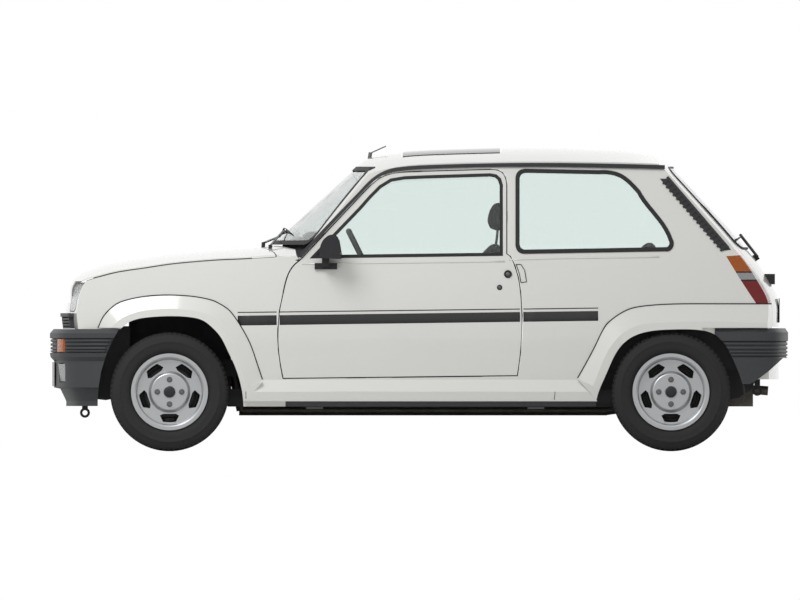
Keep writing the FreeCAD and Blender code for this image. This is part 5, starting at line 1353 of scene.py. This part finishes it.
for k in range(6):
    turn = math.radians(60 * k)
    points = []
    for r in (0.030, 0.060, 0.095, 0.130):
        for share in (-1.0, -0.35, 0.35, 1.0):
            wide = 0.15 + 0.22 * (0.130 - r) / 0.10
            angle = turn + share * wide
            x = -1.513 + 0.008 * share * (1.3 - 4 * r) + 0.002 * (1 - share * share)
            points.append((x, r * math.cos(angle), FAN_Z + r * math.sin(angle)))
    blade = piece("fan_blade_%d" % k, points, grid_faces(4, 4), "body", trim_black)
    wall(blade, 0.0022)
stays = [tube_along("fan_stay_%d" % k,
                    [(-1.4935, 0.032 * math.cos(a), FAN_Z + 0.032 * math.sin(a)),
                     (-1.4900, 0.090 * math.cos(a), FAN_Z + 0.090 * math.sin(a)),
                     (-1.4870, 0.143 * math.cos(a), FAN_Z + 0.143 * math.sin(a))],
                    0.0042, "body", trim_black, False, 12)
         for k, a in enumerate((0.52, 2.62, 4.71))]

rocker = [(-1.215, 0.6902), (-1.075, 0.6902), (-1.075, 0.703), (-1.086, 0.712), (-1.096, 0.742),
          (-1.112, 0.752), (-1.178, 0.752), (-1.194, 0.742), (-1.204, 0.712), (-1.215, 0.703)]
cover = profile_block("rocker_cover", rocker, -0.420, -0.060, "body", cover_paint, 0.005)
ribs = [profile_block("rocker_rib_%d" % k,
                      [(-1.182, 0.7515), (-1.108, 0.7515), (-1.112, 0.7565), (-1.178, 0.7565)],
                      -0.395 + 0.042 * k, -0.380 + 0.042 * k, "body", cover_paint, 0.0018)
        for k in range(8) if k != 6]
oil_cap = turned(
    "oil_filler_cap",
    [(0.0, 0.024), (0.018, 0.023), (0.024, 0.019), (0.026, 0.010), (0.021, 0.004), (0.021, -0.001),
     (0.0, -0.001)],
    (-1.145, -0.135, 0.752), (0, 0, 1), "body", trim_black, 36)
filter_profile = [(0.0, 0.074), (0.030, 0.074), (0.040, 0.070), (0.095, 0.070), (0.118, 0.073),
                  (0.127, 0.070), (0.130, 0.063), (0.130, 0.052), (0.133, 0.050), (0.133, 0.046),
                  (0.130, 0.044), (0.130, 0.012), (0.124, 0.004), (0.110, 0.0), (0.0, 0.0)]
drum = turned(
    "air_filter_drum", filter_profile, (AIR_FILTER_X, AIR_FILTER_Y, 0.708), (0, 0, 1), "body", trim_black, 72)
base = turned(
    "air_filter_base",
    [(0.048, -0.018), (0.060, -0.018), (0.052, -0.006), (0.050, 0.004), (0.0, 0.004), (0.0, -0.018)],
    (AIR_FILTER_X, AIR_FILTER_Y, 0.7085), (0, 0, 1), "body", iron_cast, 40)
nut = turned(
    "air_filter_nut",
    [(0.0, 0.016), (0.005, 0.0155), (0.006, 0.012), (0.012, 0.006), (0.013, 0.0), (0.0, 0.0)],
    (AIR_FILTER_X, AIR_FILTER_Y, 0.781), (0, 0, 1), "body", steel_dull, 24)
snorkel = tube_along(
    "air_intake_snorkel",
    smoothed([(-1.262, 0.170, 0.742), (-1.320, 0.205, 0.744), (-1.400, 0.245, 0.738), (-1.470, 0.270, 0.722)],
             5),
    0.026, "body", trim_black, False, 28)
distributor = turned(
    "distributor_cap",
    [(0.0, 0.060), (0.008, 0.060), (0.009, 0.050), (0.022, 0.046), (0.031, 0.036), (0.034, 0.010),
     (0.034, 0.0), (0.0, 0.0)],
    (DISTRIBUTOR_X, DISTRIBUTOR_Y, 0.6902), (0, 0, 1), "body", trim_black, 40)
for k in range(4):
    y = -0.375 + 0.090 * k
    angle = math.radians(50 + 80 * k)
    start = (DISTRIBUTOR_X + 0.018 * math.cos(angle), DISTRIBUTOR_Y + 0.018 * math.sin(angle), 0.738)
    lead = tube_along(
        "ignition_lead_%d" % k,
        smoothed([start, (start[0] - 0.02, start[1] + 0.015, 0.770), (-1.205 - 0.008 * k, -0.44, 0.776),
                  (-1.226 - 0.006 * k, y - 0.03, 0.752), (-1.232, y, 0.715), (-1.232, y, 0.692)],
                 6),
        0.0036, "body", seal_rubber, False, 12)
top_hose = tube_along(
    "radiator_hose_top",
    smoothed([(-1.532, -0.205, 0.655), (-1.490, -0.205, 0.662), (-1.430, -0.170, 0.700),
              (-1.340, -0.120, 0.715), (-1.275, -0.100, 0.706), (-1.262, -0.098, 0.690)],
             6),
    0.0180, "body", seal_rubber, False, 24)

battery = profile_block(
    "battery_case", [(-0.868, 0.500), (-0.712, 0.500), (-0.712, 0.655), (-0.868, 0.655)], 0.300, 0.530,
    "body", trim_black, 0.004)
battery_lid = profile_block(
    "battery_lid",
    [(-0.872, 0.6545), (-0.708, 0.6545), (-0.708, 0.676), (-0.716, 0.682), (-0.864, 0.682), (-0.872, 0.676)],
    0.296, 0.534, "body", trim_black, 0.003)
battery_tray = profile_block(
    "battery_tray",
    [(-0.884, 0.484), (-0.6908, 0.484), (-0.6908, 0.530), (-0.697, 0.530), (-0.704, 0.4995), (-0.878, 0.4995),
     (-0.878, 0.514), (-0.884, 0.514)],
    0.285, 0.545, "body", chassis_black, 0.0015)
posts = [turned("battery_clamp_%d" % k,
                [(0.0, 0.024), (0.006, 0.024), (0.007, 0.016), (0.014, 0.014), (0.016, 0.0), (0.0, 0.0)],
                (-0.848, y, 0.6815), (0, 0, 1), "body", steel_dull, 24)
         for k, y in enumerate((0.325, 0.505))]
cells = [turned("battery_cell_cap_%d" % k,
                [(0.0, 0.006), (0.006, 0.006), (0.0075, 0.003), (0.011, 0.0025), (0.012, 0.0), (0.0, 0.0)],
                (-0.770, 0.330 + 0.034 * k, 0.6815), (0, 0, 1), "body", trim_black, 24)
         for k in range(6)]
servo = turned(
    "brake_servo",
    [(0.0, 0.118), (0.020, 0.118), (0.028, 0.112), (0.060, 0.106), (0.090, 0.088), (0.101, 0.062),
     (0.104, 0.058), (0.104, 0.052), (0.100, 0.046), (0.098, 0.022), (0.080, 0.003), (0.050, 0.0002),
     (0.0, 0.0002)],
    (-0.690, SERVO_Y, SERVO_Z), (-1, 0, 0), "body", trim_black, 56)
master = turned(
    "brake_master_cylinder",
    [(0.026, -0.001), (0.026, 0.008), (0.017, 0.012), (0.017, 0.110), (0.014, 0.120), (0.0, 0.120),
     (0.0, -0.001)],
    (-0.808, SERVO_Y, SERVO_Z), (-1, 0, 0), "body", iron_cast, 32)
reservoir = turned(
    "brake_reservoir",
    [(0.0, 0.072), (0.020, 0.072), (0.022, 0.066), (0.022, 0.056), (0.027, 0.050), (0.030, 0.044),
     (0.030, 0.016), (0.014, 0.006), (0.012, -0.001), (0.0, -0.001)],
    (-0.865, SERVO_Y, SERVO_Z + 0.017), (0, 0, 1), "body", bottle_plastic, 36)
bottle = profile_block(
    "washer_bottle",
    [(-0.868, 0.500), (-0.700, 0.500), (-0.700, 0.640), (-0.712, 0.662), (-0.765, 0.690), (-0.818, 0.690),
     (-0.868, 0.650)],
    -0.612, -0.470, "body", bottle_plastic, 0.012)
bottle_cap = turned(
    "washer_bottle_cap", [(0.0, 0.020), (0.020, 0.020), (0.023, 0.016), (0.024, -0.001), (0.0, -0.001)],
    (-0.791, -0.541, 0.6895), (0, 0, 1), "body", trim_black, 32)
bracket = profile_block(
    "washer_bottle_bracket",
    [(-0.874, 0.490), (-0.6908, 0.490), (-0.6908, 0.560), (-0.6965, 0.560), (-0.6965, 0.4995),
     (-0.874, 0.4995)],
    -0.618, -0.464, "body", chassis_black, 0.0015)

boot_mat = laid_sheet(
    "boot_carpet", [1.165 + 0.495 * k / 20 for k in range(21)], [-0.455 + 0.910 * k / 36 for k in range(37)],
    lambda x: 0.4045, "body", carpet)

# Seats: padded forms swollen by cloth simulation, then sewn
def soft_form(name, profile, y_middle, half, rim, body, material):
    """A closed form: a side profile carried across, drawn in round both ends; a little small, to swell."""
    slack = 0.010
    dense = smooth_loop([profile + [profile[0]]], 0.02)
    rows = []
    stations = [-1.0, -0.97, -0.9, -0.78, -0.6, -0.35, 0.0]
    across = [-half + rim * (1 + s) for s in stations] + [half - rim * (1 + s) for s in reversed(stations)]
    for y in across:
        near_end = max(0.0, (abs(y) - (half - rim)) / rim)
        inset = slack + rim * 0.9 * (1 - math.sqrt(max(0.0, 1 - near_end ** 2)))
        rows.append([(x, y_middle + y * (half - slack) / half, z) for x, z in offset_loop(dense, -inset)])
    count = len(dense)
    faces = grid_faces(len(rows), count, closed_columns=True)
    faces += [tuple(range(count)), tuple(range((len(rows) - 1) * count, len(rows) * count))]
    return piece(name, [p for row in rows for p in row], faces, body, material)


def settle(made):
    """Applies a piece's modifiers."""
    bpy.context.view_layer.objects.active = made
    for modifier in list(made.modifiers):
        bpy.ops.object.modifier_apply(modifier=modifier.name)


def place_points(made, places):
    """Moves all points of a mesh at once."""
    made.data.vertices.foreach_set("co", [c for place in places for c in place])
    made.data.update()


def swell(forms):
    """Blows closed forms up as covers under inner pressure; forms are (piece, voxel, furthest move)."""
    for made, voxel, cap in forms:
        remesh = made.modifiers.new("even_mesh", "REMESH")
        remesh.mode = "VOXEL"
        remesh.voxel_size = voxel
        settle(made)
        made.data.shade_smooth()
    starts = [[v.co.copy() for v in made.data.vertices] for made, voxel, cap in forms]
    for made, voxel, cap in forms:
        cover = made.modifiers.new("cover", "CLOTH")
        cover.settings.use_pressure = True
        cover.settings.uniform_pressure_force = 4.0
        cover.settings.effector_weights.gravity = 0.0
        cover.settings.quality = 3
    for number in range(1, 21):
        bpy.context.scene.frame_set(number)
    shown = bpy.context.evaluated_depsgraph_get()
    swollen = [[v.co.copy() for v in made.evaluated_get(shown).data.vertices] for made, voxel, cap in forms]
    for (made, voxel, cap), start, end in zip(forms, starts, swollen):
        made.modifiers.clear()
        moves = [new - old for old, new in zip(start, end)]
        place_points(
            made,
            [old + move * min(1.0, cap / max(move.length, cap * 0.01)) for old, move in zip(start, moves)])
    bpy.context.scene.frame_set(1)


def sew(made, axis, places, depth, width, span=None):
    """Pulls the skin in along planes across an axis; span is (axis, low, high) for a shorter channel."""
    moved = []
    for place, normal in [(v.co.copy(), v.normal.copy()) for v in made.data.vertices]:
        share = 1.0
        if span:
            other, low, high = span
            share = min(1.0, max(0.0, min(place[other] - low, high - place[other]) / 0.012))
        pull = sum(math.exp(-((place[axis] - at) / width) ** 2) for at in places) * share
        moved.append(place - normal * depth * pull)
    place_points(made, moved)


def cord_round(name, made, axis, at, radius, body, material):
    """Piping laid round a padded piece in a plane across an axis."""
    work = bmesh.new()
    work.from_mesh(made.data)
    normal = Vector((0, 0, 0))
    normal[axis] = 1.0
    cut = bmesh.ops.bisect_plane(
        work, geom=work.verts[:] + work.edges[:] + work.faces[:], plane_co=normal * at,
        plane_no=normal)["geom_cut"]
    edges = [e for e in cut if isinstance(e, bmesh.types.BMEdge)]
    links = {}
    for edge in edges:
        a, b = edge.verts
        links.setdefault(a, []).append(b)
        links.setdefault(b, []).append(a)
    first = max(links, key=lambda v: v.co.x)
    loop, before, here = [first], None, first
    while True:
        ahead = [v for v in links[here] if v is not before]
        if not ahead or ahead[0] is first:
            break
        before, here = here, ahead[0]
        loop.append(here)
    line = [v.co + v.normal * radius * 0.4 for v in loop][::2]
    work.free()
    return tube_along(name, line, radius, body, material, True, 8)


def copy_across(made, name, distance):
    """The same piece again, further along Y."""
    mesh = made.data.copy()
    mesh.transform(Matrix.Translation((0, distance, 0)))
    again = bpy.data.objects.new(name, mesh)
    bpy.context.scene.collection.objects.link(again)
    for modifier in made.modifiers:
        kept = again.modifiers.new(modifier.name, modifier.type)
        for key in (
                "levels", "render_levels", "width", "segments", "limit_method", "angle_limit",
                "harden_normals"):
            if hasattr(modifier, key):
                setattr(kept, key, getattr(modifier, key))
    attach(again, "body")
    return again


def finer(made):
    """One finer level of a padded piece's skin."""
    skin = made.modifiers.new("finer", "SUBSURF")
    skin.levels = 1
    skin.render_levels = 1


SEAT_Y = 0.33
BOLSTER = 0.165
CUSHION = [(-0.150, 0.345), (-0.146, 0.410), (-0.115, 0.452), (-0.060, 0.470), (0.060, 0.462), (0.150, 0.452),
           (0.255, 0.440), (0.290, 0.400), (0.296, 0.345)]
BACK = [(0.222, 0.425), (0.238, 0.560), (0.256, 0.700), (0.272, 0.810), (0.300, 0.920), (0.325, 0.990),
        (0.350, 1.016), (0.378, 1.020), (0.402, 0.998), (0.402, 0.900), (0.392, 0.780), (0.366, 0.600),
        (0.332, 0.425)]
HEADREST = [(0.330, 1.056), (0.322, 1.110), (0.330, 1.160), (0.354, 1.190), (0.385, 1.203), (0.414, 1.192),
            (0.430, 1.150), (0.434, 1.100), (0.420, 1.056)]
BENCH_CUSHION = [(0.690, 0.300), (0.682, 0.400), (0.700, 0.436), (0.740, 0.452), (0.860, 0.447),
                 (1.000, 0.440), (1.010, 0.400), (0.960, 0.398), (0.842, 0.398), (0.822, 0.300)]
BENCH_BACK = [(0.992, 0.430), (1.010, 0.600), (1.028, 0.800), (1.042, 0.930), (1.056, 0.992), (1.085, 1.018),
              (1.118, 1.021), (1.142, 1.000), (1.140, 0.900), (1.132, 0.600), (1.126, 0.430)]
pads = {}
for part, profile, middle, half, rim in (
        ("seat_cushion_left", CUSHION, -SEAT_Y, 0.25, 0.045),
        ("seat_backrest_left", BACK, -SEAT_Y, 0.245, 0.045),
        ("seat_headrest_left", HEADREST, -SEAT_Y, 0.125, 0.035),
        ("bench_cushion", BENCH_CUSHION, 0.0, 0.533, 0.040), ("bench_back", BENCH_BACK, 0.0, 0.533, 0.045)):
    pads[part] = soft_form(part, profile, middle, half, rim, "body", seat_cloth)
swell(
    [(pads["seat_cushion_left"], 0.010, 0.018), (pads["seat_backrest_left"], 0.010, 0.018),
     (pads["seat_headrest_left"], 0.006, 0.012), (pads["bench_cushion"], 0.012, 0.016),
     (pads["bench_back"], 0.012, 0.016)])
for part in ("cushion", "backrest", "headrest"):
    pad = pads["seat_%s_left" % part]
    if part != "headrest":
        moved = []
        for place, normal in [(v.co.copy(), v.normal.copy()) for v in pad.data.vertices]:
            out = min(1.0, max(0.0, (abs(place.y + SEAT_Y) - BOLSTER) / 0.05))
            raised = 0.022 * out * out * (3 - 2 * out)
            if part == "cushion":
                place.z += raised * max(0.0, normal.z)
            else:
                place.x += raised * min(0.0, normal.x) * min(1.0, max(0.0, (place.z - 0.46) / 0.08))
            moved.append(place)
        place_points(pad, moved)
        sew(pad, 1, (-SEAT_Y - BOLSTER, -SEAT_Y + BOLSTER), 0.007, 0.009)
        centre = (1, -SEAT_Y - BOLSTER, -SEAT_Y + BOLSTER)
        if part == "cushion":
            sew(pad, 0, (-0.06, 0.01, 0.08, 0.15), 0.006, 0.010, centre)
        else:
            sew(pad, 2, (0.53, 0.61, 0.69, 0.77, 0.85), 0.006, 0.010, centre)
    else:
        sew(pad, 1, (-SEAT_Y - 0.092, -SEAT_Y + 0.092), 0.004, 0.006)
    seams = [-SEAT_Y - BOLSTER,
             -SEAT_Y + BOLSTER] if part != "headrest" else [-SEAT_Y - 0.092, -SEAT_Y + 0.092]
    for number, at in enumerate(seams):
        seam = cord_round("seat_%s_piping_%d_left" % (part, number), pad, 1, at, 0.0022, "body", seal_rubber)
        again = copy_across(seam, "seat_%s_piping_%d_right" % (part, number), 2 * SEAT_Y)
    finer(pad)
    twin = copy_across(pad, "seat_%s_right" % part, 2 * SEAT_Y)
    for done in (pad, twin):
        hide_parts("front_seats")

for side, side_name in ((-1, "left"), (1, "right")):
    y_seat = side * SEAT_Y
    for y in (-0.07, 0.07):
        post = tube_along(
            "headrest_post_%s_%s" % (side_name, "outer" if y * side > 0 else "inner"),
            [(0.368, y_seat + y, 0.985), (0.374, y_seat + y, 1.030), (0.378, y_seat + y, 1.080)], 0.006,
            "body", steel_dull, False, 16)
        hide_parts("front_seats")
    for number, y in enumerate((-0.205, 0.205)):
        rail = profile_block(
            "seat_rail_%s_%d" % (side_name, number),
            [(-0.145, 0.219), (0.315, 0.219), (0.315, 0.236), (0.300, 0.243), (-0.130, 0.243),
             (-0.145, 0.236)],
            y_seat + y - 0.020, y_seat + y + 0.020, "body", steel_dull, 0.002)
        leg = profile_block(
            "seat_frame_%s_%d" % (side_name, number),
            [(-0.110, 0.240), (-0.070, 0.240), (-0.050, 0.300), (0.190, 0.300), (0.215, 0.240),
             (0.270, 0.240), (0.292, 0.360), (-0.132, 0.360)],
            y_seat + y - 0.012, y_seat + y + 0.012, "body", chassis_black, 0.003)
        hinge = profile_block(
            "seat_recliner_%s_%d" % (side_name, number),
            [(0.225, 0.345), (0.300, 0.345), (0.318, 0.400), (0.318, 0.480), (0.300, 0.500), (0.270, 0.500),
             (0.252, 0.480), (0.240, 0.400)],
            y_seat + (0.2495 if y > 0 else -0.2605), y_seat + (0.2605 if y > 0 else -0.2495), "body",
            trim_black, 0.004)
        for made, finish_slot in ((rail, "steel"), (leg, "steel"), (hinge, "dark_trim")):
            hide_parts("front_seats")

for part in ("cushion", "back"):
    pad = pads["bench_" + part]
    sew(pad, 1, (-0.355, 0.0, 0.355), 0.008, 0.010)
    if part == "cushion":
        sew(pad, 0, (0.745,), 0.006, 0.010)
    else:
        sew(pad, 2, (0.93,), 0.006, 0.010)
    for number, at in enumerate((-0.355, 0.355)):
        seam = cord_round("bench_%s_piping_%d" % (part, number), pad, 1, at, 0.0022, "body", seal_rubber)
    finer(pad)
    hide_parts("rear_bench")
bench_base = profile_block(
    "bench_base", [(0.700, 0.222), (0.806, 0.222), (0.830, 0.312), (0.706, 0.312)], -0.528, 0.528, "body",
    dash_grain, 0.006)
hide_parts("rear_bench")

# Stage, light and camera
floor = piece(
    "studio_floor", [(-30, -30, 0), (30, -30, 0), (30, 30, 0), (-30, 30, 0)], [(0, 1, 2, 3)], "body",
    finish("pale_studio_floor", "E4E4E2", 0.8, tint=0.003, patch=900.0, relief=0.0))
WHITE = (1.0, 1.0, 1.0, 1.0)
world = bpy.data.worlds.new("studio")
bpy.context.scene.world = world
world.use_nodes = True
world.node_tree.nodes.clear()
rays = add(world, "ShaderNodeLightPath").outputs
seen_or_through = add(
    world, "ShaderNodeMath", {0: rays["Is Camera Ray"], 1: rays["Is Transmission Ray"]}, operation="MAXIMUM")
backdrop_share = add(
    world, "ShaderNodeMath", {0: seen_or_through.outputs["Value"], 1: rays["Is Glossy Ray"]},
    operation="MAXIMUM")
lighting = add(world, "ShaderNodeBackground", {"Color": WHITE, "Strength": 0.42})
backdrop = add(world, "ShaderNodeBackground", {"Color": WHITE, "Strength": 1.0})
mixed = add(
    world, "ShaderNodeMixShader",
    {"Fac": backdrop_share.outputs["Value"], 1: lighting.outputs["Background"],
     2: backdrop.outputs["Background"]})
add(world, "ShaderNodeOutputWorld", {"Surface": mixed.outputs["Shader"]})


def area_light(name, place, target, size, power):
    """A square lamp of a size in metres and a power in watts, turned towards a target."""
    data = bpy.data.lights.new(name, "AREA")
    data.energy = power
    data.size = size
    lamp = bpy.data.objects.new(name, data)
    bpy.context.scene.collection.objects.link(lamp)
    lamp.location = place
    lamp.rotation_euler = (Vector(target) - Vector(place)).to_track_quat("-Z", "Y").to_euler()


area_light("key_light", (-3.5, -5.0, 5.5), (0, 0, 0.6), 3.5, 230.0)
area_light("back_light", (3.0, 5.5, 5.0), (0, 0, 0.6), 3.5, 190.0)

# The picture's 800 pixels of 4.79 mm, seen square from the side
PICTURE_WIDE = 3.832
CAMERA_PLACE = (-0.091, -9.0, 0.725)
camera_data = bpy.data.cameras.new("side_camera")
camera_data.type = "ORTHO"
camera_data.ortho_scale = PICTURE_WIDE
camera_data.clip_end = 60.0
camera = bpy.data.objects.new("side_camera", camera_data)
bpy.context.scene.collection.objects.link(camera)
camera.location = CAMERA_PLACE
camera.rotation_euler = (math.radians(90), 0, 0)
bpy.context.scene.camera = camera
bpy.context.scene.view_settings.view_transform = "Standard"
